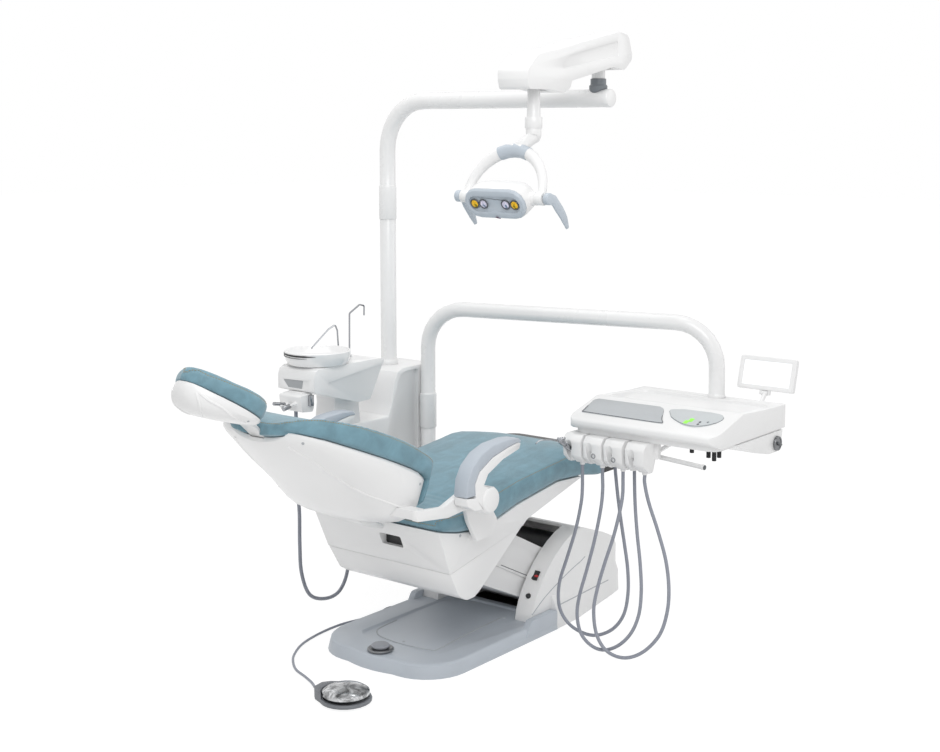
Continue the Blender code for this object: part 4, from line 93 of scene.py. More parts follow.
# Routes of the hoses and the foot cord, as in the part's source
HOSE_RADIUS = 0.00575
SUCTION_RADIUS = 0.0065
CORD_RADIUS = 0.0042
CLEAR = 0.0003
HOLDER_FOOT_Z = 0.613
HOSE_TOP_Z = 0.712 - CLEAR
HOSE_ROUTES = {
    "hose_1": [
        (0.03, -0.392, HOLDER_FOOT_Z - 0.0083), (0.03, -0.392, 0.575), (0.029, -0.393, 0.53),
        (0.027, -0.39, 0.475), (0.025, -0.37, 0.38), (0.023, -0.338, 0.28),
        (0.02, -0.308, 0.185), (0.02, -0.306, 0.11), (0.02, -0.332, 0.062),
        (0.02, -0.382, 0.034), (0.022, -0.45, 0.03), (0.028, -0.515, 0.062),
        (0.034, -0.556, 0.118), (0.042, -0.568, 0.19), (0.052, -0.56, 0.27),
        (0.062, -0.54, 0.35), (0.074, -0.515, 0.44), (0.083, -0.495, 0.53),
        (0.088, -0.482, 0.62), (0.088, -0.48, HOSE_TOP_Z)],
    "hose_2": [
        (0.03, -0.472, HOLDER_FOOT_Z - 0.0083), (0.03, -0.472, 0.578), (0.024, -0.477, 0.53),
        (0.012, -0.478, 0.47), (-0.004, -0.466, 0.37), (-0.018, -0.446, 0.27),
        (-0.03, -0.424, 0.175), (-0.04, -0.422, 0.11), (-0.048, -0.444, 0.054),
        (-0.053, -0.49, 0.024), (-0.054, -0.54, 0.022), (-0.05, -0.592, 0.048),
        (-0.042, -0.634, 0.096), (-0.028, -0.654, 0.158), (-0.008, -0.65, 0.23),
        (0.016, -0.63, 0.31), (0.044, -0.6, 0.4), (0.068, -0.576, 0.49),
        (0.084, -0.562, 0.59), (0.088, -0.558, HOSE_TOP_Z)],
    "hose_3": [
        (0.03, -0.552, HOLDER_FOOT_Z - 0.0083), (0.03, -0.552, 0.578), (0.021, -0.557, 0.53),
        (0.008, -0.556, 0.48), (-0.008, -0.541, 0.39), (-0.022, -0.517, 0.3),
        (-0.033, -0.497, 0.215), (-0.048, -0.493, 0.145), (-0.062, -0.514, 0.072),
        (-0.071, -0.56, 0.028), (-0.071, -0.626, 0.02), (-0.062, -0.69, 0.05),
        (-0.048, -0.742, 0.112), (-0.03, -0.759, 0.182), (-0.01, -0.754, 0.255),
        (0.01, -0.73, 0.34), (0.024, -0.69, 0.43), (0.029, -0.652, 0.515),
        (0.03, -0.635, 0.576), (0.03, -0.635, HOLDER_FOOT_Z - 0.0086)],
    "suction_hose": [
        (-0.405, 0.515, 0.7447), (-0.405, 0.515, 0.7), (-0.405, 0.519, 0.62),
        (-0.4, 0.52, 0.5), (-0.395, 0.515, 0.38), (-0.405, 0.505, 0.27),
        (-0.408, 0.495, 0.17), (-0.375, 0.49, 0.085), (-0.3, 0.49, 0.05),
        (-0.22, 0.495, 0.055), (-0.165, 0.505, 0.115), (-0.15, 0.515, 0.215),
        (-0.155, 0.53, 0.33), (-0.146, 0.545, 0.44), (-0.14, 0.55, 0.55),
        (-0.14, 0.55, 0.5997)],
    "foot_cord": [
        (-0.13, 0.292 + CLEAR, 0.012), (-0.131, 0.312, 0.011), (-0.15, 0.326, 0.008),
        (-0.2, 0.322, 0.005), (-0.275, 0.325, 0.0046), (-0.37, 0.345, 0.0046),
        (-0.48, 0.34, 0.0046), (-0.585, 0.315, 0.0046), (-0.67, 0.268, 0.0046),
        (-0.722, 0.222, 0.0046), (-0.765, 0.165, 0.0046), (-0.79, 0.1, 0.0046),
        (-0.812, 0.05, 0.005), (-0.838, 0.01, 0.008), (-0.8485, -0.01, 0.0115),
        (-0.8485, -0.0255, 0.012)],
}
CORD_FACTS = {
    "hose_1": (HOSE_RADIUS, "medium", "hanging"),
    "hose_2": (HOSE_RADIUS, "medium", "hanging"),
    "hose_3": (HOSE_RADIUS, "medium", "hanging"),
    "suction_hose": (SUCTION_RADIUS, "medium", "hanging"),
    "foot_cord": (CORD_RADIUS, "medium", "loose"),
}

# Places of the small dressings, in metres
BACK_CREASE = [(-1.054, -0.109, 0.815), (-1.023, -0.131, 0.789), (-0.988, -0.149, 0.762),
               (-0.949, -0.159, 0.731), (-0.911, -0.171, 0.702), (-0.853, -0.192, 0.66),
               (-0.787, -0.228, 0.623), (-0.733, -0.252, 0.596), (-0.677, -0.259, 0.577)]
HEAD_CREASES = ([(-1.336, -0.048, 1.004), (-1.332, -0.055, 0.974), (-1.295, -0.027, 0.931)],
                [(-1.331, -0.054, 1.006), (-1.315, -0.077, 0.984), (-1.287, -0.098, 0.961),
                 (-1.251, -0.103, 0.931), (-1.205, -0.098, 0.908)])
# Creases on the housing's sides, drawn as grey lines of painted shade
HOUSING_CREASES = ([(-0.045, -0.241, 0.075), (0.027, -0.241, 0.116), (0.117, -0.241, 0.152),
                    (0.209, -0.241, 0.182), (0.285, -0.236, 0.199)],
                   [(0.083, -0.26, 0.078), (0.256, -0.247, 0.076), (0.468, -0.2145, 0.063)])
SCREWS = (("backrest_shell", (-1.045, -0.161, 0.83), 0.0045),
          ("backrest_shell", (-0.664, -0.271, 0.655), 0.0045),
          ("headrest_shell", (-1.203, -0.108, 0.913), 0.0035),
          ("seat_shell", (-0.47, -0.27, 0.451), 0.005),
          ("base_plate", (-0.431, 0.001, 0.038), 0.005))
LABEL_EDGE = [(0.052, -0.372), (0.1, -0.366), (0.148, -0.361), (0.157, -0.375), (0.159, -0.49),
              (0.16, -0.61), (0.147, -0.633), (0.111, -0.651), (0.077, -0.667), (0.051, -0.686),
              (0.05, -0.53)]
PANEL_EDGE = [(0.151, -0.656), (0.161, -0.69), (0.166, -0.74), (0.166, -0.8), (0.16, -0.84),
              (0.148, -0.856), (0.13, -0.86), (0.098, -0.849), (0.072, -0.825), (0.06, -0.795),
              (0.062, -0.76), (0.08, -0.72), (0.105, -0.685), (0.132, -0.66)]
GREEN_KEYS = ((0.08, -0.7555), (0.0976, -0.7649))
BLUE_MARK = (0.1025, -0.714)
DARK_KEYS = ((0.1098, -0.7992), (0.0923, -0.7996), (0.0758, -0.8006))
SMALL_MARKS = ((0.0988, -0.8245, "collar_grey"), (0.1101, -0.8456, "green_mark"))
NIPPLES = ((0.222, -0.698, 0.656), (0.23, -0.756, 0.646), (0.219, -0.783, 0.641),
           (0.26, -0.779, 0.644))
# The base plate's raised moulded line, drawn in a grey that is its painted highlight
PLATE_PANEL = [(-0.287, 0.158), (-0.376, 0.151), (-0.416, 0.133), (-0.443, 0.09), (-0.454, -0.007),
               (-0.44, -0.113), (-0.419, -0.134), (-0.275, -0.122), (-0.074, -0.112),
               (-0.041, -0.124)]
LIFT_SEAM = [(-0.121, -0.165, 0.253), (-0.048, -0.165, 0.217), (0.027, -0.165, 0.18)]
# Corners of a grey plate on the cuspidor arm's face: painted shade of its front recess
CUSPIDOR_RECESS_SHADE = [(-0.4032, 0.572, 0.85), (-0.4032, 0.48, 0.852), (-0.4032, 0.487, 0.821),
                   (-0.4032, 0.562, 0.821)]
VALVES = (((-0.462, 0.511, 0.776), (-0.512, 0.514, 0.785), 0.0062),
          ((-0.45, 0.499, 0.769), (-0.48, 0.5, 0.763), 0.0088),
          ((-0.399, 0.447, 0.806), (-0.399, 0.447, 0.769), 0.0105))
CLIPS = ((-0.016, -0.4648, 0.6504), (-0.016, -0.5425, 0.6485))
# Black blocks laid as painted shade: in the well under the base housing and in the seat shell's
# recess
SHADE_BLOCKS = (("housing_well_shade", "base_plate", (0.235, 0.0, 0.006), (0.37, 0.334, 0.01)),
               ("shell_recess_shade", "seat_shell", (-0.514, -0.03, 0.405), (0.01, 0.15, 0.07)))
HINGE_ARM_END = (Vector((-0.68, 0.29, 0.0)), Vector((1.0, -0.15, 0.0)))
BAR_NOTCH_HALF_Y = 0.055
NOTCH_INSET = 0.0016
HANDLE_DROOP = math.radians(20.0)
HANDLE_ROOT = (0.012, 0.05)
TRAY_LIP_Z = 0.712
TRAY_TOP_Z = 0.79
BOWL_CENTRE = Vector((-0.295, 0.515, 0.0))
BOWL_RADIUS = 0.1176
STRIPE_CORNERS = ((-0.001, -1), (0.0004, -1), (0.0004, 1), (-0.001, 1))
BOWL_STRIPES = (("bowl_stripe", 0.9365, 0.0058, 112.0, 222.0),
                ("bowl_pinstripe", 0.9285, 0.0016, 118.0, 206.0))
LAMP_HEAD = Vector((-0.35, -0.345, 1.508))
LAMP_TILT = math.radians(25.0)
LENS_Y = (0.0765, 0.0425, -0.0425, -0.0765)
DOME_X = -0.0455
DOME_HALF = (0.0065, 0.0138, 0.0138, 1.0)
RIM_X = -0.0475
RIM_RADII = (0.0147, 0.0018)
TUBE_EDGE = 0.0008
KEY_EDGE = 0.08
KEY_SIZE = (0.0215, 0.014, 0.0018)
DIAL_FACE = Vector((0.427, -0.905, 0.676))
TRAY_POST = Vector((0.462, -0.655, 0.8))
TRAY_POST_RADIUS = 0.0215

WHITE_MOULDINGS = (
    "base_housing", "lift_arm_upper_cover", "lift_arm_lower_cover", "seat_shell", "seat_belly",
    "backrest_shell", "backrest_hinge_arms", "headrest_bar", "headrest_shell", "armrest_left",
    "armrest_right", "column", "cuspidor_arm", "suction_holder", "lamp_arm_cover", "lamp_yoke",
    "lamp_head", "instrument_holders", "film_viewer", "tray")
WHITE_METALWORK = ("unit_bracket", "light_pole_lower", "light_pole_upper", "lamp_post", "lamp_stub",
                   "delivery_arm", "tray_handle")


# Settings

def linear(red, green, blue):
    """A colour read off a screen, 0 to 255, as the linear value that a shader takes."""
    def one(value):
        value /= 255
        return value / 12.92 if value <= 0.04045 else ((value + 0.055) / 1.055) ** 2.4
    return one(red), one(green), one(blue)


def colour_property(name, description, red, green, blue):
    return FloatVectorProperty(name=name, description=description, size=3, min=0.0, max=1.0,
                               subtype="COLOR", default=linear(red, green, blue))


class UnitColours(bpy.types.PropertyGroup):
    """Colours of the unit's finishes."""
    white: colour_property("White", "Painted mouldings and poles", 236, 236, 236)
    plate: colour_property("Base plate", "Cast base and foot control rim", 188, 195, 203)
    leather: colour_property("Upholstery", "Seat, back and headrest covers", 112, 149, 163)
    thread: colour_property("Thread", "Stitching along the cover seams", 148, 132, 98)
    pad: colour_property("Arm pads", "Moulded pads on the armrests", 182, 190, 199)
    hose: colour_property("Hoses", "Instrument and suction hoses", 142, 146, 157)
    lamp: colour_property("Lamp trim", "Lamp bezel, grips and handles", 186, 195, 204)
    collar: colour_property("Collar", "Collar on the lamp pole", 118, 123, 128)
    label: colour_property("Label plate", "Blank plate on the tray", 186, 190, 193)
    # The keys' colour also feeds their painted glow
    key: colour_property("Keys", "Lit membrane keys", 140, 232, 70)


class UnitSizes(bpy.types.PropertyGroup):
    """Sizes of the dressing that can be changed by themselves."""
    edge: FloatProperty(name="Eased edge", description="Width of the eased edges of mouldings",
                        default=0.001, min=0.0, max=0.004, unit="LENGTH")
    swell: FloatProperty(name="Swell", description="Furthest that upholstery may puff out",
                         default=0.006, min=0.0, max=0.02, unit="LENGTH")
    weave: FloatProperty(name="Cloth mesh", description="Mesh size of the simulated covers",
                         default=0.0065, min=0.004, max=0.02, unit="LENGTH")
    stitch: FloatProperty(name="Stitch pitch", description="Distance from stitch to stitch",
                          default=0.008, min=0.004, max=0.02, unit="LENGTH")
    sim_frames: IntProperty(name="Cloth frames", description="Frames of cloth simulation",
                            default=20, min=1, max=60)


def colours():
    return bpy.context.scene.dental_colours


def sizes():
    return bpy.context.scene.dental_sizes


# Shader arithmetic

class Value:
    """A shader socket that takes Python's operators, each of which adds a Math node."""

    def __init__(self, finish, socket):
        self.finish = finish
        self.socket = socket

    def maths(self, operation, *values):
        return self.finish.node("ShaderNodeMath", {"operation": operation}, dict(enumerate(values)))

    def __add__(self, other):
        return self.maths("ADD", self, other)

    def __mul__(self, other):
        return self.maths("MULTIPLY", self, other)


class Finish:
    """A material built on one Principled shader."""

    def __init__(self, name, colour, roughness, metallic=0.0, **plain):
        self.material = bpy.data.materials.new(name)
        self.material.use_nodes = True
        self.tree = self.material.node_tree
        self.shader = self.tree.nodes["Principled BSDF"]
        self.colour = (*colour, 1.0)
        self.set("Base Color", self.colour)
        self.set("Roughness", roughness)
        self.set("Metallic", metallic)
        for socket, value in plain.items():
            self.set(socket.replace("_", " ").title().replace("Ior", "IOR"), value)

    def set(self, socket, value):
        self.join(self.shader.inputs[socket], value)

    def join(self, socket, value):
        if isinstance(value, Value):
            self.tree.links.new(value.socket, socket)
        else:
            socket.default_value = value

    def node(self, kind, settings=None, values=None, output=0):
        """Adds a node: its settings first, then the values or links of its sockets."""
        made = self.tree.nodes.new(kind)
        for name, value in (settings or {}).items():
            if name == "stops":
                ramp = made.color_ramp
                ramp.elements[0].position, ramp.elements[0].color = value[0]
                ramp.elements[1].position, ramp.elements[1].color = value[-1]
                for place, colour in value[1:-1]:
                    ramp.elements.new(place).color = colour
            else:
                setattr(made, name, value)
        for key, value in (values or {}).items():
            self.join(made.inputs[key], value)
        return Value(self, made.outputs[output])

    def place(self):
        return self.node("ShaderNodeTexCoord", output="Object")

    def noise(self, scale, detail=3.0, roughness=0.55, where=None, distortion=0.0):
        """A noise pattern, about 0.5 in the middle."""
        return self.node("ShaderNodeTexNoise", {}, {
            "Vector": where or self.place(), "Scale": scale, "Detail": detail,
            "Roughness": roughness, "Distortion": distortion})

    def between(self, share, low, high):
        """A number that goes from low to high as share goes from 0 to 1."""
        return self.node("ShaderNodeMapRange", {}, {
            "Value": share, "To Min": low, "To Max": high})

    def mix(self, share, first, second):
        """A colour between two others."""
        return self.node("ShaderNodeMix", {"data_type": "RGBA"},
                         {0: share, 6: first, 7: second}, output=2)

    def shaded(self, factor):
        """The finish's colour made darker or lighter."""
        return tuple(min(1.0, c * factor) for c in self.colour[:3]) + (1.0,)

    def mottle(self, share, dark, light):
        """Lets the finish's colour vary between a darker and a lighter shade."""
        self.set("Base Color", self.mix(share, self.shaded(dark), self.shaded(light)))

    def rough(self, share, low, high):
        self.set("Roughness", self.between(share, low, high))

    def bump(self, height, strength, distance):
        self.set("Normal", self.node("ShaderNodeBump", {}, {
            "Height": height, "Strength": strength, "Distance": distance}))


# Finishes

def painted(name, colour, roughness, speckle=0.04, coat=0.25):
    """Sprayed paint: faint orange peel, cloudy gloss and slightly uneven whiteness."""
    paint = Finish(name, colour, roughness, coat_weight=coat, coat_roughness=0.12)
    cloud = paint.noise(3.5, 2.0)
    peel = paint.noise(420.0, 2.0)
    paint.mottle(cloud, 1.0 - speckle, 1.0 + speckle)
    paint.rough(paint.noise(9.0, 4.0), roughness - 0.07, roughness + 0.09)
    paint.bump(peel, 0.05, 0.0006)
    return paint


def white_moulding():
    return painted("white_moulding", colours().white, 0.34)


def white_tube():
    return painted("white_tube_paint", colours().white, 0.28, coat=0.35)


def cast_plate():
    """Structured grey paint on the cast base: fine pebbles and rubbed high spots."""
    paint = Finish("cast_plate_paint", colours().plate, 0.42, coat_weight=0.15, coat_roughness=0.25)
    pebble = paint.noise(260.0, 3.0)
    cloud = paint.noise(5.0, 3.0)
    paint.mottle(cloud, 0.93, 1.06)
    paint.rough(paint.noise(14.0, 4.0), 0.34, 0.52)
    paint.bump(pebble, 0.14, 0.0008)
    return paint


def leather():
    """Soft matt leathercloth: cloudy nap, fine pores, and faint light and dark streaks along the
    length that are painted soft highlights.
    """
    hide = Finish("teal_leathercloth", colours().leather, 0.62, sheen_weight=0.35,
                  sheen_roughness=0.45)
    place = hide.place()
    nap = hide.noise(16.0, 5.0, 0.62, place, 0.9)
    # Noise stretched along the cushions' length: painted soft highlights, mixed into the cloudy nap
    highlight_streaks = hide.noise(7.0, 3.0, 0.5, hide.node(
        "ShaderNodeMapping", {}, {"Vector": place, "Scale": (1.0, 4.5, 2.0)}), 0.6)
    cloud = hide.between(nap * 0.62 + highlight_streaks * 0.38, -0.75, 1.75)
    fine = hide.noise(190.0, 3.0, 0.6, place)
    base = hide.mix(cloud, hide.shaded(0.7), hide.shaded(1.28))
    hide.set("Base Color", hide.mix(fine * 0.35, base, hide.shaded(0.86)))
    hide.rough(nap, 0.52, 0.74)
    pores = hide.node("ShaderNodeTexVoronoi", {"feature": "DISTANCE_TO_EDGE"},
                      {"Vector": place, "Scale": 620.0})
    hide.bump(pores * 0.5 + hide.noise(120.0, 4.0, 0.6, place) * 0.9 + nap * 1.2, 0.3, 0.0011)
    return hide


def thread():
    yarn = Finish("seam_thread", colours().thread, 0.75, sheen_weight=0.2)
    yarn.bump(yarn.noise(1800.0, 1.0), 0.3, 0.0002)
    return yarn


def arm_pad():
    """Moulded foam skin with a fine even grain."""
    skin = Finish("arm_pad_skin", colours().pad, 0.52)
    skin.mottle(skin.noise(30.0, 3.0), 0.96, 1.04)
    grain = skin.node("ShaderNodeTexVoronoi", {}, {"Vector": skin.place(), "Scale": 900.0})
    skin.bump(grain, 0.16, 0.0004)
    return skin


def plastic(name, colour, roughness=0.4, grain=0.1):
    """Fine-grained moulded plastic."""
    made = Finish(name, colour, roughness)
    made.mottle(made.noise(22.0, 3.0), 0.94, 1.06)
    made.rough(made.noise(40.0, 3.0), roughness - 0.06, roughness + 0.08)
    made.bump(made.noise(700.0, 2.0), grain, 0.0003)
    return made


def lamp_grey():
    return plastic("lamp_trim_grey", colours().lamp, 0.36, 0.06)


def collar_grey():
    return plastic("collar_grey", colours().collar, 0.42)


def hose_skin():
    """Soft grey hose with a faint mottle and fine grain."""
    skin = Finish("hose_skin", colours().hose, 0.38)
    skin.mottle(skin.noise(60.0, 3.0), 0.92, 1.07)
    skin.rough(skin.noise(25.0, 3.0), 0.3, 0.48)
    skin.bump(skin.noise(500.0, 2.0), 0.08, 0.0003)
    return skin


def steel(name, colour, roughness):
    """Polished metal with hairline brushing."""
    metal = Finish(name, colour, roughness, 1.0)
    metal.mottle(metal.noise(35.0, 3.0), 0.9, 1.05)
    metal.rough(metal.noise(70.0, 4.0), roughness - 0.06, roughness + 0.1)
    metal.bump(metal.noise(900.0, 2.0), 0.04, 0.0002)
    return metal


def disc_steel():
    """Steel disc: a bright face with broad dark patches."""
    metal = steel("disc_steel", (0.62, 0.63, 0.64), 0.14)
    dark_patches = metal.between(metal.noise(26.0, 4.0, 0.6, distortion=1.6), -1.2, 2.2)
    metal.mottle(dark_patches, 0.22, 1.15)
    return metal


def dark_steel():
    return steel("dark_steel", (0.23, 0.235, 0.245), 0.32)


def glazed():
    """Glazed bowl: deep gloss over a slightly uneven body."""
    glaze = Finish("bowl_glaze", colours().white, 0.16, coat_weight=0.8, coat_roughness=0.03)
    glaze.mottle(glaze.noise(12.0, 3.0), 0.98, 1.03)
    glaze.bump(glaze.noise(30.0, 2.0), 0.03, 0.001)
    return glaze


def label_foil():
    """Satin foil with a long vertical brush and soft bands."""
    foil = Finish("label_foil", colours().label, 0.34, 0.35)
    brush = foil.noise(55.0, 2.0, 0.5, foil.node(
        "ShaderNodeMapping", {}, {"Vector": foil.place(), "Scale": (9.0, 1.0, 9.0)}))
    foil.mottle(brush, 0.9, 1.08)
    foil.rough(brush, 0.28, 0.42)
    return foil


def key_film():
    film = Finish("keypad_film", linear(196, 201, 203), 0.38, coat_weight=0.3)
    film.mottle(film.noise(90.0, 2.0), 0.97, 1.03)
    film.bump(film.noise(600.0, 2.0), 0.05, 0.0002)
    return film


def glow_painted_key():
    # Green membrane keys with a painted glow: their emission brightens them, though they are no
    # lamp
    key = Finish("glow_painted_key", colours().key, 0.35, emission_strength=0.35)
    key.set("Emission Color", (*colours().key, 1.0))
    key.mottle(key.noise(300.0, 2.0), 0.92, 1.05)
    return key


def diffuser():
    """Opal screen, lit from behind."""
    opal = Finish("opal_screen", linear(246, 248, 249), 0.3, emission_strength=0.25)
    glow = opal.noise(6.0, 2.0)
    opal.set("Emission Color", opal.mix(glow, (0.9, 0.92, 0.94, 1.0), (1.0, 1.0, 1.0, 1.0)))
    opal.mottle(glow, 0.98, 1.0)
    return opal


def reflector(name, colour):
    """Faceted bright reflector behind a lens."""
    bright = Finish(name, colour, 0.12, 0.85)
    facets = bright.node("ShaderNodeTexVoronoi", {}, {"Vector": bright.place(), "Scale": 210.0})
    bright.mottle(facets, 0.55, 1.15)
    bright.bump(facets, 0.5, 0.001)
    return bright


PLASTICS = {
    "black_plastic": ((26, 27, 29), 0.42, 0.1),
    "black_rubber": ((22, 22, 24), 0.62, 0.2),
    "red_rocker": ((190, 26, 30), 0.28, 0.04),
    "sensor_glass": ((74, 20, 70), 0.12, 0.02),
    "green_mark": ((70, 190, 110), 0.35, 0.03),
    "blue_mark": ((94, 116, 190), 0.35, 0.03),
    # Grey of the raised lines: a painted highlight along the base plate's moulded line and painted
    # shade in the housing's creases; also the screw caps' own grey
    "panel_line": ((176, 180, 184), 0.45, 0.05),
    "knob_grey": ((150, 153, 160), 0.4, 0.1),
    # Grey of the plate that paints the shade in the cuspidor arm's front recess
    "recess_shade_grey": ((164, 167, 170), 0.4, 0.05),
    "foot_grey": ((116, 119, 124), 0.45, 0.1),
    "frame_grey": ((84, 88, 92), 0.3, 0.03),
}
FINISH_MAKERS = {maker.__name__: maker for maker in (
    white_moulding, white_tube, cast_plate, leather, thread, arm_pad, lamp_grey, collar_grey,
    hose_skin, disc_steel, dark_steel, glazed, label_foil, key_film, glow_painted_key, diffuser)}
FINISH_MAKERS.update({
    "warm_reflector": lambda: reflector("warm_reflector", linear(246, 192, 52)),
    "cool_reflector": lambda: reflector("cool_reflector", linear(214, 212, 232)),
    "tap_chrome": lambda: steel("tap_chrome", (0.36, 0.37, 0.39), 0.14)})
FINISHES = {}


def finish(name):
    if name not in FINISHES:
        if name in PLASTICS:
            colour, roughness, grain = PLASTICS[name]
            made = plastic(name, linear(*colour), roughness, grain)
        else:
            made = FINISH_MAKERS[name]()
        FINISHES[name] = made.material
    return FINISHES[name]


# Modelling helpers

def only(*objs):
    """Makes these the only selected objects, the first of them active."""
    if bpy.context.object and bpy.context.object.mode != "OBJECT":
        bpy.ops.object.mode_set(mode="OBJECT")
    bpy.ops.object.select_all(action="DESELECT")
    for obj in objs:
        obj.select_set(True)
    bpy.context.view_layer.objects.active = objs[0]


def apply_all(obj):
    only(obj)
    for modifier in list(obj.modifiers):
        bpy.ops.object.modifier_apply(modifier=modifier.name)


def eased(obj, width, segments=2, angle=BEND_ANGLE):
    """Eases those edges of a piece that are sharper than an angle."""
    if width:
        ease = obj.modifiers.new("ease", "BEVEL")
        ease.width = width
        ease.segments = segments
        ease.limit_method = "ANGLE"
        ease.angle_limit = angle
        apply_all(obj)


def settle(obj, name, material, angle=SMOOTH_ANGLE):
    """Names a new piece, puts its place into its mesh, and gives it its finish."""
    only(obj)
    if obj.type != "MESH":
        bpy.ops.object.convert(target="MESH")
        obj = bpy.context.object
    obj.name = name
    bpy.ops.object.transform_apply(location=True, rotation=True, scale=True)
    obj.data.materials.clear()
    obj.data.materials.append(finish(material))
    bpy.ops.object.shade_smooth_by_angle(angle=angle)
    return obj


def rider(obj, name, material, body):
    """Settles a piece and lets it ride on a body."""
    obj = settle(obj, name, material)
    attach(obj, body)
    return obj


def welded(node, name):
    """A copy of a CAD node with its loose triangles joined up."""
    obj = bpy.data.objects.new(name, NODES[node].data.copy())
    bpy.context.scene.collection.objects.link(obj)
    only(obj)
    bpy.ops.object.mode_set(mode="EDIT")
    bpy.ops.mesh.select_all(action="SELECT")
    bpy.ops.mesh.remove_doubles(threshold=WELD)
    bpy.ops.object.mode_set(mode="OBJECT")
    bpy.ops.mesh.customdata_custom_splitnormals_clear()
    return obj


def dressed(node, material, edge=None, angle=SMOOTH_ANGLE):
    """A welded copy of a node with eased edges, which stands for it."""
    obj = welded(node, node + "_dressed")
    bpy.ops.object.mode_set(mode="EDIT")
    bpy.ops.mesh.select_all(action="SELECT")
    bpy.ops.mesh.dissolve_limited(angle_limit=math.radians(0.4))
    bpy.ops.object.mode_set(mode="OBJECT")
    eased(obj, sizes().edge if edge is None else edge, 2, EASE_ANGLE)
    settle(obj, node + "_dressed", material, angle)
    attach(obj, RIDES_ON[node])
    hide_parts(node)
    return obj


def polyline(points, steps):
    """Catmull-Rom curve through a route's points, at equal steps of its index."""
    points = [Vector(p) for p in points]
    ends = [2 * points[0] - points[1]] + points + [2 * points[-1] - points[-2]]
    made = []
    for k in range(steps):
        u = k * (len(points) - 1) / (steps - 1)
        i = min(int(u), len(points) - 2)
        f = u - i
        a, b, c, d = ends[i:i + 4]
        made.append(0.5 * (2 * b + (c - a) * f + (2 * a - 5 * b + 4 * c - d) * f * f
                           + (3 * b - a - 3 * c + d) * f ** 3))
    return made


def length_of(path):
    return sum((b - a).length for a, b in zip(path, path[1:]))


def line(path, radius, name, closed=False, sides=3):
    """A curve object with a round section along a path."""
    curve = bpy.data.curves.new(name, "CURVE")
    curve.dimensions = "3D"
    curve.bevel_depth = radius
    curve.bevel_resolution = sides
    curve.use_fill_caps = True
    spline = curve.splines.new("POLY")
    spline.use_cyclic_u = closed
    spline.points.add(len(path) - 1)
    for point, place in zip(spline.points, path):
        point.co = (*place, 1.0)
    obj = bpy.data.objects.new(name, curve)
    bpy.context.scene.collection.objects.link(obj)
    return obj


def surface_tree(obj):
    mesh = obj.data
    return BVHTree.FromPolygons([v.co for v in mesh.vertices], [p.vertices for p in mesh.polygons])


def from_bmesh(name, bm):
    """A new object that takes a bmesh's faces."""
    mesh = bpy.data.meshes.new(name)
    bm.to_mesh(mesh)
    bm.free()
    obj = bpy.data.objects.new(name, mesh)
    bpy.context.scene.collection.objects.link(obj)
    return obj


def laid(node, path, lift=0.0, reach=0.05):
    """The places on a node's surface nearest to a path, lifted by a little."""
    tree = surface_tree(NODES[node])
    made = []
    for place in path:
        here, normal, _, _ = tree.find_nearest(Vector(place), reach)
        made.append(here + normal * lift)
    return made


def trim_line(name, node, path, radius, material, sunk=0.5, closed=False, spacing=0.008):
    """A raised line that follows a node's surface."""
    whole = polyline(path + path[:1] if closed else path, 1 + round(length_of(
        [Vector(p) for p in path]) / spacing))
    if closed:
        whole = whole[:-1]
    obj = line(laid(node, whole, radius * (1 - 2 * sunk)), radius, name, closed, 2)
    return rider(obj, name, material, RIDES_ON[node])


def faced(obj, place, normal):
    """Turns an object made about the origin, facing +Z, to stand on a surface."""
    turn = normal.to_track_quat("Z", "Y").to_matrix().to_4x4()
    obj.matrix_world = Matrix.Translation(place) @ turn


def disc(name, node, place, radius, height, material, ease=0.0006, squash=1.0, turn=0.0):
    """A small round button on a node's surface."""
    here, normal, _, _ = surface_tree(NODES[node]).find_nearest(Vector(place))
    bpy.ops.mesh.primitive_cylinder_add(vertices=32, radius=radius, depth=height)
    obj = bpy.context.object
    obj.data.transform(Matrix.Rotation(turn, 4, "Z") @ Matrix.Diagonal((squash, 1.0, 1.0, 1.0)))
    eased(obj, ease)
    faced(obj, here + normal * height * 0.2, normal)
    return rider(obj, name, material, RIDES_ON[node])


def patch(name, node, wanted, material, thickness):
    """A skin over those faces of a node whose middles are wanted."""
    obj = welded(node, name)
    bm = bmesh.new()
    bm.from_mesh(obj.data)
    away = [face for face in bm.faces if not wanted(face.calc_center_median(), face.normal)]
    bmesh.ops.delete(bm, geom=away, context="FACES")
    bm.to_mesh(obj.data)
    bm.free()
    thick = obj.modifiers.new("skin", "SOLIDIFY")
    thick.thickness = thickness
    thick.offset = 1.0
    apply_all(obj)
    return rider(obj, name, material, RIDES_ON[node])


def joined(name, objs, material, body):
    """One piece from several meshes."""
    only(*objs)
    bpy.ops.object.join()
    obj = bpy.context.object
    return rider(obj, name, material, body)


def tube_piece(name, start, end, radius, material):
    """A short round piece between two places."""
    start, end = Vector(start), Vector(end)
    bpy.ops.mesh.primitive_cylinder_add(vertices=20, radius=radius, depth=(end - start).length)
    obj = bpy.context.object
    eased(obj, TUBE_EDGE)
    faced(obj, (start + end) / 2, (end - start).normalized())
    return settle(obj, name, material)


# Upholstery

CLOTH = {"quality": 5, "use_pressure": True, "uniform_pressure_force": 4.0,
         "tension_stiffness": 12.0, "compression_stiffness": 12.0, "shear_stiffness": 6.0,
         "bending_stiffness": 1.5, "vertex_group_mass": "held", "pin_stiffness": 3.0}
DOWNWARD = -0.35
SEAM_STEP = 0.004
SEAM_REACH = 0.012
SEAM_HELD = 0.007
SEAM_DEPTH = 0.0022
SEAM_WIDTH = 0.0042
STITCH_HALF = (0.0014, 0.43, 0.0011)


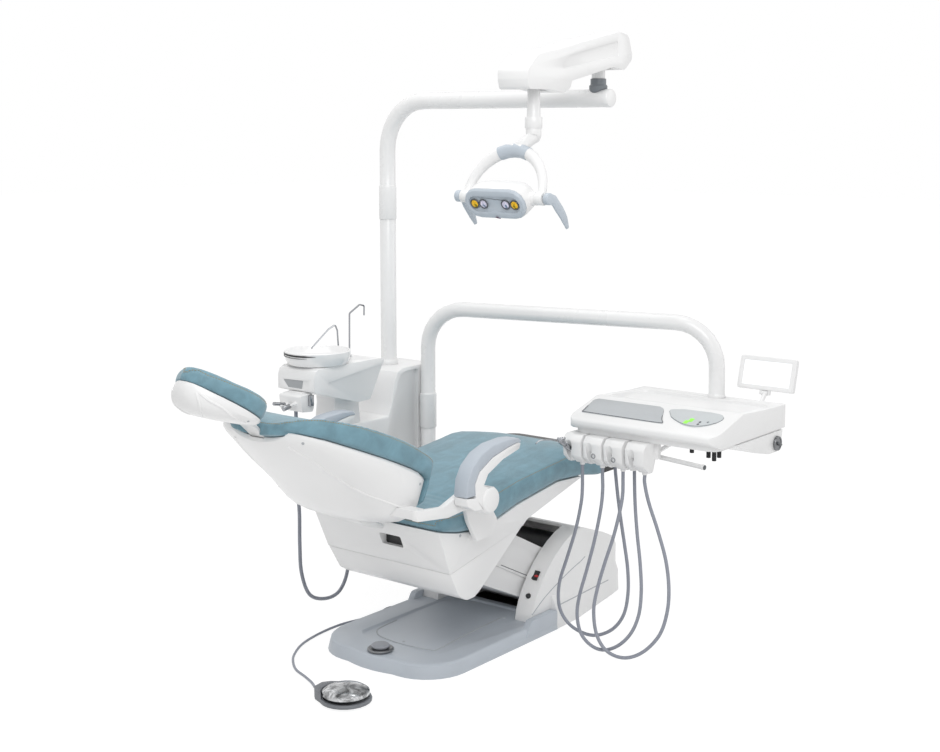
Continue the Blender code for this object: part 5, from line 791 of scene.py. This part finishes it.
def to_frame(point, place):
    """(s, t) of a point in a cushion's frame."""
    origin, angle = place
    offset = point - origin
    along = Vector((-math.cos(angle), 0.0, math.sin(angle)))
    out = Vector((math.sin(angle), 0.0, math.cos(angle)))
    return offset.dot(along), offset.dot(out)


def seam_loop(node, place):
    """The cover's seam: the outermost upper corner of each of the cushion's sections."""
    sections = {}
    for vertex in NODES[node].data.vertices:
        s, t = to_frame(vertex.co, place)
        sections.setdefault(round(s, 3), []).append((vertex.co.copy(), t))
    right = []
    for s in sorted(sections):
        found = sections[s]
        if len({tuple(round(c, 4) for c in v[0]) for v in found}) < 16:
            continue
        right.append(max(found, key=lambda v: 0.7 * -v[0].y + 0.71 * v[1])[0])
    left = [Vector((p.x, -p.y, p.z)) for p in reversed(right)]
    return right + left


def even_steps(path, step):
    """Points at equal distances round a closed path."""
    path = path + path[:1]
    whole = length_of(path)
    count = max(2, round(whole / step))
    made, at, walked = [], 0, 0.0
    for k in range(count):
        target = whole * k / count
        while walked + (path[at + 1] - path[at]).length < target:
            walked += (path[at + 1] - path[at]).length
            at += 1
        share = (target - walked) / max((path[at + 1] - path[at]).length, 1e-9)
        made.append(path[at].lerp(path[at + 1], share))
    return made


def stitched(name, cover, path, body):
    """A row of stitches laid on a cover along its seam."""
    tree = surface_tree(cover)
    bm = bmesh.new()
    places = even_steps(path, sizes().stitch)
    for k, place in enumerate(places):
        ahead = places[(k + 1) % len(places)]
        here, normal, _, _ = tree.find_nearest(place)
        along = (ahead - place).normalized()
        side = normal.cross(along).normalized()
        turn = Matrix((side, along, normal)).transposed().to_4x4()
        reach = STITCH_HALF[1] * sizes().stitch
        bmesh.ops.create_uvsphere(
            bm, u_segments=6, v_segments=4, radius=1.0,
            matrix=Matrix.Translation(here + normal * 0.0002) @ turn
            @ Matrix.Diagonal((STITCH_HALF[0], reach, STITCH_HALF[2], 1.0)))
    return rider(from_bmesh(name, bm), name, "thread", body)


def clear_of_bar(cover, node, out):
    """Draws a cover's underside and its notch for the slide bar just inside the solid cushion."""
    tree = surface_tree(NODES[node])
    for vertex in cover.data.vertices:
        here, normal, _, _ = tree.find_nearest(vertex.co)
        facing = normal.dot(out)
        if facing < DOWNWARD or (facing < 0.2 and abs(vertex.co.y) < BAR_NOTCH_HALF_Y):
            if (vertex.co - here).dot(normal) > -NOTCH_INSET:
                vertex.co = here - normal * NOTCH_INSET


def swollen(node, name, place, seam, cell):
    """A cover made as a cushion is: blown up between its held underside and its seam."""
    obj = welded(node, name)
    remesh = obj.modifiers.new("even", "REMESH")
    remesh.mode = "VOXEL"
    remesh.voxel_size = cell
    smooth = obj.modifiers.new("soften", "SMOOTH")
    smooth.factor = 0.5
    smooth.iterations = 3
    apply_all(obj)
    _, angle = place
    out = Vector((math.sin(angle), 0.0, math.cos(angle)))
    held = obj.vertex_groups.new(name="held")
    seam_tree = BVHTree.FromPolygons(
        [p for point in seam for p in (point, point + out * 1e-4)],
        [(2 * k, 2 * k + 1, (2 * k + 2) % (2 * len(seam))) for k in range(len(seam))])
    start = [v.co.copy() for v in obj.data.vertices]
    for vertex in obj.data.vertices:
        near = seam_tree.find_nearest(vertex.co, SEAM_REACH)[3]
        if vertex.normal.dot(out) < DOWNWARD:
            held.add([vertex.index], 1.0, "REPLACE")
        elif near is not None and near < SEAM_HELD:
            held.add([vertex.index], 0.85, "REPLACE")
    cloth = obj.modifiers.new("blow", "CLOTH")
    for setting, value in CLOTH.items():
        setattr(cloth.settings, setting, value)
    cloth.settings.effector_weights.gravity = 0.0
    cloth.point_cache.frame_end = sizes().sim_frames
    for number in range(1, sizes().sim_frames + 1):
        bpy.context.scene.frame_set(number)
    apply_all(obj)
    bpy.context.scene.frame_set(1)
    most = sizes().swell
    for vertex, was in zip(obj.data.vertices, start):
        move = vertex.co - was
        if move.length > most:
            vertex.co = was + move * (most / move.length)
    ease = obj.modifiers.new("ease", "SMOOTH")
    ease.factor = 0.4
    ease.iterations = 2
    apply_all(obj)
    obj.vertex_groups.clear()
    for vertex in obj.data.vertices:
        hit = seam_tree.find_nearest(vertex.co, SEAM_REACH)
        if hit[3] is not None and vertex.normal.dot(out) > DOWNWARD:
            vertex.co -= vertex.normal * SEAM_DEPTH * math.exp(-(hit[3] / SEAM_WIDTH) ** 2)
    if place is not SEAT_FRAME:
        clear_of_bar(obj, node, out)
    settle(obj, name, "leather", math.radians(80))
    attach(obj, RIDES_ON[node])
    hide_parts(node)
    return obj


class DENTAL_OT_upholstery(bpy.types.Operator):
    """Sew the seat, backrest and headrest covers"""
    bl_idname = "dental.upholstery"
    bl_label = "Upholstery"

    def execute(self, context):
        cell = sizes().weave
        for node, place, size in (("seat_cushion", SEAT_FRAME, cell),
                                  ("backrest_cushion", BACK_FRAME, cell),
                                  ("headrest_cushion", HEAD_FRAME, 0.75 * cell)):
            seam = seam_loop(node, place)
            cover = swollen(node, node.replace("cushion", "cover"), place,
                            even_steps(seam, SEAM_STEP), size)
            stitched(node.replace("cushion", "stitches"), cover, seam, RIDES_ON[node])
        return {"FINISHED"}


class DENTAL_OT_arm_pads(bpy.types.Operator):
    """Mould the armrest pads"""
    bl_idname = "dental.arm_pads"
    bl_label = "Arm pads"

    def execute(self, context):
        for side in ("left", "right"):
            pad = dressed("armrest_pad_" + side, "arm_pad", 0.003, math.radians(50))
        return {"FINISHED"}


class DENTAL_OT_hoses(bpy.types.Operator):
    """Hang the hoses and lay the foot cord"""
    bl_idname = "dental.hoses"
    bl_label = "Hoses"

    def execute(self, context):
        for node, route in HOSE_ROUTES.items():
            radius, stiffness, lay = CORD_FACTS[node]
            path = polyline(route, 12 * len(route))
            hose = line(path, radius, node + "_skin", sides=5)
            hose.data.materials.append(finish("hose_skin"))
            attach(hose, RIDES_ON[node])
            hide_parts(node)
            length_of(path)
        return {"FINISHED"}


class DENTAL_OT_mouldings(bpy.types.Operator):
    """Paint the white mouldings and metalwork"""
    bl_idname = "dental.mouldings"
    bl_label = "White mouldings"

    def execute(self, context):
        for node in WHITE_MOULDINGS:
            moulding = dressed(node, "white_moulding")
            if node == "backrest_hinge_arms":
                trimmed(moulding, *HINGE_ARM_END)
        for node in WHITE_METALWORK:
            dressed(node, "white_tube", 0.0006)
        return {"FINISHED"}


class DENTAL_OT_fittings(bpy.types.Operator):
    """Finish the base, covers, collars and small fittings"""
    bl_idname = "dental.fittings"
    bl_label = "Fittings"

    def execute(self, context):
        for node, material, edge in (
                ("base_plate", "cast_plate", 0.0015), ("joystick_ring", "dark_steel", 0.0004),
                ("joystick_knob", "knob_grey", 0.0008), ("foot_control_base", "foot_grey", 0.0006),
                ("foot_disc", "disc_steel", 0.0006), ("lift_guard", "black_plastic", 0.0006),
                ("seat_frame", "black_plastic", 0.0008), ("foot_cover", "black_plastic", 0.002),
                ("power_switch", "black_plastic", 0.0003), ("fuse_cap", "black_plastic", 0.0004),
                ("rinse_bowl", "glazed", 0.0008), ("cup_filler", "tap_chrome", 0.0),
                ("flush_tube", "tap_chrome", 0.0), ("lamp_saddle", "collar_grey", 0.0006),
                ("lamp_bezel", "lamp_grey", 0.0008), ("lamp_lenses", "cool_reflector", 0.0),
                ("lamp_handle_right", "lamp_grey", 0.001), ("lamp_handle_left", "lamp_grey", 0.001),
                ("label_plate", "label_foil", 0.0002), ("control_panel", "key_film", 0.0002),
                ("brake_dial", "dark_steel", 0.0006), ("film_screen", "diffuser", 0.0003),
                ("syringe", "tap_chrome", 0.0002)):
            fitting = dressed(node, material, edge)
            if node.startswith("lamp_handle"):
                drooped(fitting)
        return {"FINISHED"}


def trimmed(obj, place, normal):
    """Cuts away the part of a piece behind a plane and closes the cut."""
    only(obj)
    bpy.ops.object.mode_set(mode="EDIT")
    bpy.ops.mesh.select_all(action="SELECT")
    bpy.ops.mesh.bisect(plane_co=place, plane_no=normal, use_fill=True, clear_inner=True)
    bpy.ops.object.mode_set(mode="OBJECT")


def drooped(handle):
    """Bends a lamp handle down about its root, in the lamp head's frame."""
    into = Matrix.Rotation(LAMP_TILT, 3, "Y")
    start, full = HANDLE_ROOT
    for vertex in handle.data.vertices:
        local = into @ (vertex.co - LAMP_HEAD)
        reach = math.hypot(local.x, local.z)
        share = min(1.0, max(0.0, (reach - start) / (full - start)))
        turn = Matrix.Rotation(HANDLE_DROOP * share * share * (3 - 2 * share), 3, "Y")
        vertex.co = head_place(*(turn @ local))


def head_place(x, y, z):
    """A place in the lamp head's own frame."""
    return LAMP_HEAD + Matrix.Rotation(-LAMP_TILT, 3, "Y") @ Vector((x, y, z))


class DENTAL_OT_lamp_optics(bpy.types.Operator):
    """Fit the lamp's reflectors, rims, sensor and grip"""
    bl_idname = "dental.lamp_optics"
    bl_label = "Lamp optics"

    def execute(self, context):
        body = RIDES_ON["lamp_lenses"]
        for number, y in enumerate(LENS_Y, 1):
            kind = "warm_reflector" if number in (1, 4) else "cool_reflector"
            bpy.ops.mesh.primitive_uv_sphere_add(segments=32, ring_count=16, radius=1.0)
            dome = bpy.context.object
            dome.matrix_world = (Matrix.Translation(head_place(DOME_X, y, 0.0))
                                 @ Matrix.Rotation(-LAMP_TILT, 4, "Y")
                                 @ Matrix.Diagonal(DOME_HALF))
            rider(dome, f"reflector_{number}", kind, body)
            bpy.ops.mesh.primitive_torus_add(major_radius=RIM_RADII[0], minor_radius=RIM_RADII[1],
                                             major_segments=36, minor_segments=10)
            rim = bpy.context.object
            faced(rim, head_place(RIM_X, y, 0.0), head_place(-1.0, 0, 0) - LAMP_HEAD)
            rider(rim, f"lens_rim_{number}", "frame_grey", body)
        disc("lamp_sensor", "lamp_bezel", head_place(-0.048, 0.0, -0.047), 0.0052, 0.002,
             "sensor_glass", squash=2.4, turn=math.pi / 2)
        patch("yoke_grip", "lamp_yoke",
              lambda middle, normal: abs(middle.y - LAMP_HEAD.y) < 0.055 and 1.6 < middle.z < 1.668
              and middle.x < -0.278, "lamp_grey", 0.0016)
        return {"FINISHED"}


class DENTAL_OT_tray_marks(bpy.types.Operator):
    """Lay the keys, frames, nipples and dial grip of the tray"""
    bl_idname = "dental.tray_marks"
    bl_label = "Tray marks"

    def execute(self, context):
        body = RIDES_ON["tray"]
        trim_line("label_frame", "label_plate", [(x, y, TRAY_TOP_Z) for x, y in LABEL_EDGE], 0.0013,
                  "frame_grey", 0.4, True, 0.006)
        trim_line("panel_frame", "control_panel", [(x, y, TRAY_TOP_Z) for x, y in PANEL_EDGE],
                  0.0011, "collar_grey", 0.4, True, 0.006)
        for number, (x, y) in enumerate(GREEN_KEYS, 1):
            bpy.ops.mesh.primitive_cube_add(size=1.0)
            key = bpy.context.object
            key.scale = KEY_SIZE
            eased(key, KEY_EDGE, 3)
            panel = surface_tree(NODES["control_panel"])
            here, normal, _, _ = panel.find_nearest(Vector((x, y, TRAY_TOP_Z)))
            key.rotation_euler = Vector((0, 0, 1)).rotation_difference(normal).to_euler()
            key.location = here + normal * 0.0005
            rider(key, f"green_key_{number}", "glow_painted_key", body)
        disc("blue_mark", "control_panel", (*BLUE_MARK, TRAY_TOP_Z), 0.0045, 0.001, "blue_mark",
             0.0002, 3.2, math.pi / 2)
        for number, (x, y) in enumerate(DARK_KEYS, 1):
            disc(f"dark_key_{number}", "control_panel", (x, y, TRAY_TOP_Z), 0.004, 0.0014,
                 "frame_grey", 0.0003, 1.4, math.pi / 2)
        for x, y, kind in SMALL_MARKS:
            disc("mark_" + kind, "control_panel", (x, y, TRAY_TOP_Z), 0.0036, 0.0012, kind, 0.0003,
                 1.5, math.pi / 2)
        sleeves = [tube_piece("sleeve", (x, y, low - 0.004), (x, y, TRAY_LIP_Z - 0.003), 0.0074,
                              "black_rubber") for x, y, low in NIPPLES]
        joined("nipple_sleeves", sleeves, "black_rubber", body)
        cap = tube_piece("handle_cap", (0.0497, -0.8415, 0.655), (0.0493, -0.844, 0.655), 0.0078,
                         "frame_grey")
        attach(cap, RIDES_ON["tray_handle"])
        bar = tube_piece("dial_bar", DIAL_FACE + Vector((-0.014, -0.008, 0.006)),
                         DIAL_FACE + Vector((0.014, -0.008, -0.006)), 0.0042, "frame_grey")
        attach(bar, RIDES_ON["brake_dial"])
        bpy.ops.mesh.primitive_torus_add(major_radius=TRAY_POST_RADIUS + 0.0035,
                                         minor_radius=0.0042, major_segments=40, minor_segments=12,
                                         location=TRAY_POST + Vector((0, 0, 0.0015)))
        gasket = settle(bpy.context.object, "post_gasket", "frame_grey")
        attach(gasket, body)
        return {"FINISHED"}


class DENTAL_OT_trims(bpy.types.Operator):
    """Add the creases, screw caps and bowl stripes"""
    bl_idname = "dental.trims"
    bl_label = "Creases and stripes"

    def execute(self, context):
        for name, way in (("back_crease", 1), ("back_crease_far", -1)):
            trim_line(name, "backrest_shell", [(x, way * y, z) for x, y, z in BACK_CREASE],
                      0.005, "white_moulding", 0.72)
        for number, path in enumerate(HEAD_CREASES, 1):
            for side, way in (("near", 1), ("far", -1)):
                trim_line(f"head_crease_{number}_{side}", "headrest_shell",
                          [(x, way * y, z) for x, y, z in path], 0.0045, "white_moulding", 0.7)
        # Grey lines in the housing's creases: painted shade
        for number, path in enumerate(HOUSING_CREASES, 1):
            for side, way in (("near", 1), ("far", -1)):
                trim_line(f"housing_crease_{number}_{side}", "base_housing",
                          [(x, way * y, z) for x, y, z in path], 0.0022, "panel_line", 0.72)
        # The base plate's raised line in grey: its painted highlight
        trim_line("plate_panel", "base_plate", [(x, y, 0.032) for x, y in PLATE_PANEL], 0.0024,
                  "panel_line", 0.55)
        trim_line("lift_seam", "lift_arm_upper_cover", LIFT_SEAM, 0.0013, "frame_grey", 0.5)
        disc("rocker_red", "power_switch", (0.02, -0.2125, 0.186), 0.0048, 0.0016, "red_rocker",
             0.0003, 1.7)
        # Black blocks that are painted shade in the housing's well and the seat shell's recess
        for name, node, middle, size in SHADE_BLOCKS:
            bpy.ops.mesh.primitive_cube_add(size=1.0, location=middle)
            block = bpy.context.object
            block.scale = size
            rider(block, name, "black_plastic", RIDES_ON[node])
        # A grey plate on the cuspidor arm's face, painted as the shade in its front recess
        bpy.ops.mesh.primitive_grid_add(x_subdivisions=1, y_subdivisions=1, size=1.0)
        recess_sheet = bpy.context.object
        for vertex, place in zip(recess_sheet.data.vertices, (CUSPIDOR_RECESS_SHADE[k] for k in (0, 1, 3, 2))):
            vertex.co = place
        thick = recess_sheet.modifiers.new("skin", "SOLIDIFY")
        thick.thickness = 0.0012
        apply_all(recess_sheet)
        rider(recess_sheet, "cuspidor_recess_shade", "recess_shade_grey", RIDES_ON["cuspidor_arm"])
        for number, (start, end, radius) in enumerate(VALVES, 1):
            valve = tube_piece(f"suction_valve_{number}", start, end, radius, "tap_chrome")
            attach(valve, RIDES_ON["suction_holder"])
        for number, place in enumerate(CLIPS, 1):
            bpy.ops.mesh.primitive_torus_add(major_radius=0.007, minor_radius=0.0017,
                                             major_segments=28, minor_segments=8)
            clip = bpy.context.object
            faced(clip, Vector(place), Vector((-1, 0, 0)))
            rider(clip, f"holder_clip_{number}", "tap_chrome", RIDES_ON["instrument_holders"])
        for number, (node, place, radius) in enumerate(SCREWS, 1):
            disc(f"screw_cap_{number}", node, place, radius, 0.0014, "panel_line", 0.0004)
        for name, height, thick, start, end in BOWL_STRIPES:
            bm = bmesh.new()
            rows = []
            for k in range(49):
                share = k / 48
                angle = math.radians(start + (end - start) * share)
                half = 0.5 * thick * min(1.0, 8 * share, 5 * (1 - share)) + 0.0001
                out = Vector((math.cos(angle), math.sin(angle), 0.0))
                rows.append([bm.verts.new(BOWL_CENTRE + out * (BOWL_RADIUS + lift)
                                          + Vector((0, 0, height + side * half)))
                             for lift, side in STRIPE_CORNERS])
            for one, two in zip(rows, rows[1:]):
                for i in range(4):
                    j = (i + 1) % 4
                    bm.faces.new((one[i], two[i], two[j], one[j]))
            bm.faces.new(rows[0])
            bm.faces.new(rows[-1][::-1])
            bmesh.ops.recalc_face_normals(bm, faces=bm.faces)
            rider(from_bmesh(name, bm), name, "black_plastic", RIDES_ON["rinse_bowl"])
        return {"FINISHED"}


class DENTAL_OT_stage(bpy.types.Operator):
    """Set the floor, the soft lights and the camera"""
    bl_idname = "dental.stage"
    bl_label = "Stage"

    def execute(self, context):
        floor()
        world()
        lights()
        camera()
        return {"FINISHED"}


# Stage

FLOOR_SIZE = 60.0
FLOOR_Z = -0.0008
FLOOR_SEEN = 0.8
FLOOR_GLOW = 1.12
SKY_STRENGTH = 0.62
LIGHT_AIM = Vector((-0.15, 0.0, 0.7))
SOFT_BOXES = (("key_box", (-2.6, -2.2, 3.6), 2.6, 62.0), ("fill_box", (2.8, -3.0, 2.6), 2.4, 16.0),
              ("top_box", (-0.2, 0.6, 4.4), 3.4, 44.0))


def seen_rays(node):
    """1 for rays from the camera and through gloss or glass, else 0."""
    path = node("ShaderNodeLightPath")
    sockets = path.socket.node.outputs
    return [Value(path.finish, sockets[name]) for name in
            ("Is Camera Ray", "Is Glossy Ray", "Is Transmission Ray")]


def floor():
    bpy.ops.mesh.primitive_plane_add(size=FLOOR_SIZE, location=(0.0, 0.0, FLOOR_Z))
    ground = bpy.context.object
    ground.name = "studio_floor"
    paint = Finish("studio_floor", (0.9, 0.9, 0.9), 0.9)
    camera_ray, glossy_ray, through_ray = seen_rays(paint.node)
    seen = camera_ray.maths(
        "MAXIMUM", camera_ray, camera_ray.maths("MAXIMUM", glossy_ray, through_ray))
    white = paint.node("ShaderNodeEmission", {}, {
        "Color": (1.0, 1.0, 1.0, 1.0), "Strength": FLOOR_GLOW})
    mixed = paint.node("ShaderNodeMixShader", {}, {
        0: seen * FLOOR_SEEN, 1: Value(paint, paint.shader.outputs[0]), 2: white})
    paint.join(paint.tree.nodes["Material Output"].inputs["Surface"], mixed)
    ground.data.materials.append(paint.material)


def world():
    made = bpy.data.worlds.new("studio_world")
    bpy.context.scene.world = made
    made.use_nodes = True
    tree = made.node_tree
    background = tree.nodes["Background"]
    background.inputs["Color"].default_value = (1.0, 1.0, 1.0, 1.0)
    background.inputs["Strength"].default_value = SKY_STRENGTH
    white = tree.nodes.new("ShaderNodeBackground")
    white.inputs["Color"].default_value = (1.0, 1.0, 1.0, 1.0)
    path = tree.nodes.new("ShaderNodeLightPath")
    seen = path.outputs["Is Camera Ray"]
    for name in ("Is Glossy Ray", "Is Transmission Ray"):
        most = tree.nodes.new("ShaderNodeMath")
        most.operation = "MAXIMUM"
        tree.links.new(seen, most.inputs[0])
        tree.links.new(path.outputs[name], most.inputs[1])
        seen = most.outputs[0]
    mixed = tree.nodes.new("ShaderNodeMixShader")
    tree.links.new(seen, mixed.inputs[0])
    tree.links.new(background.outputs[0], mixed.inputs[1])
    tree.links.new(white.outputs[0], mixed.inputs[2])
    tree.links.new(mixed.outputs[0], tree.nodes["World Output"].inputs["Surface"])


def lights():
    """Three big soft boxes: above left of the camera, far right and overhead."""
    for name, place, size, power in SOFT_BOXES:
        bpy.ops.object.light_add(type="AREA", location=place)
        lamp = bpy.context.object
        lamp.name = name
        lamp.data.shape = "DISK"
        lamp.data.size = size
        lamp.data.energy = power
        aim = LIGHT_AIM - Vector(place)
        lamp.rotation_euler = aim.to_track_quat("-Z", "Y").to_euler()


def camera():
    bpy.ops.object.camera_add(location=CAMERA_PLACE)
    eye = bpy.context.object
    eye.name = "photo_camera"
    forward = Vector((math.sin(CAMERA_HEADING) * math.cos(CAMERA_PITCH),
                      math.cos(CAMERA_HEADING) * math.cos(CAMERA_PITCH), -math.sin(CAMERA_PITCH)))
    eye.rotation_euler = forward.to_track_quat("-Z", "Y").to_euler()
    eye.data.sensor_width = SENSOR_WIDTH
    eye.data.lens = SENSOR_WIDTH * FOCAL_PIXELS / IMAGE_SIZE[0]
    eye.data.shift_x = -CENTRE_OFFSET[0] / IMAGE_SIZE[0]
    eye.data.shift_y = CENTRE_OFFSET[1] / IMAGE_SIZE[0]
    bpy.context.scene.camera = eye
    bpy.context.scene.view_settings.view_transform = "Standard"


class DENTAL_PT_panel(bpy.types.Panel):
    """Lists the dressing steps"""
    bl_idname = "DENTAL_PT_panel"
    bl_label = "Dental Unit"
    bl_space_type = "VIEW_3D"
    bl_region_type = "UI"
    bl_category = "Dental Unit"

    def draw(self, context):
        for step in STEPS:
            self.layout.operator(step.bl_idname)
        for group in (context.scene.dental_colours, context.scene.dental_sizes):
            for name in group.bl_rna.properties.keys():
                if name not in ("rna_type", "name"):
                    self.layout.prop(group, name)


STEPS = (DENTAL_OT_stage, DENTAL_OT_hoses, DENTAL_OT_mouldings, DENTAL_OT_fittings,
         DENTAL_OT_lamp_optics, DENTAL_OT_tray_marks, DENTAL_OT_trims, DENTAL_OT_upholstery,
         DENTAL_OT_arm_pads)
CLASSES = (UnitColours, UnitSizes, *STEPS, DENTAL_PT_panel)


def register():
    for cls in CLASSES:
        bpy.utils.register_class(cls)
    bpy.types.Scene.dental_colours = PointerProperty(type=UnitColours)
    bpy.types.Scene.dental_sizes = PointerProperty(type=UnitSizes)


def unregister():
    del bpy.types.Scene.dental_colours
    del bpy.types.Scene.dental_sizes
    for cls in reversed(CLASSES):
        bpy.utils.unregister_class(cls)


def main():
    register()
    for step in STEPS:
        group, name = step.bl_idname.split(".")
        getattr(getattr(bpy.ops, group), name)()


if __name__ == "__main__":
    main()
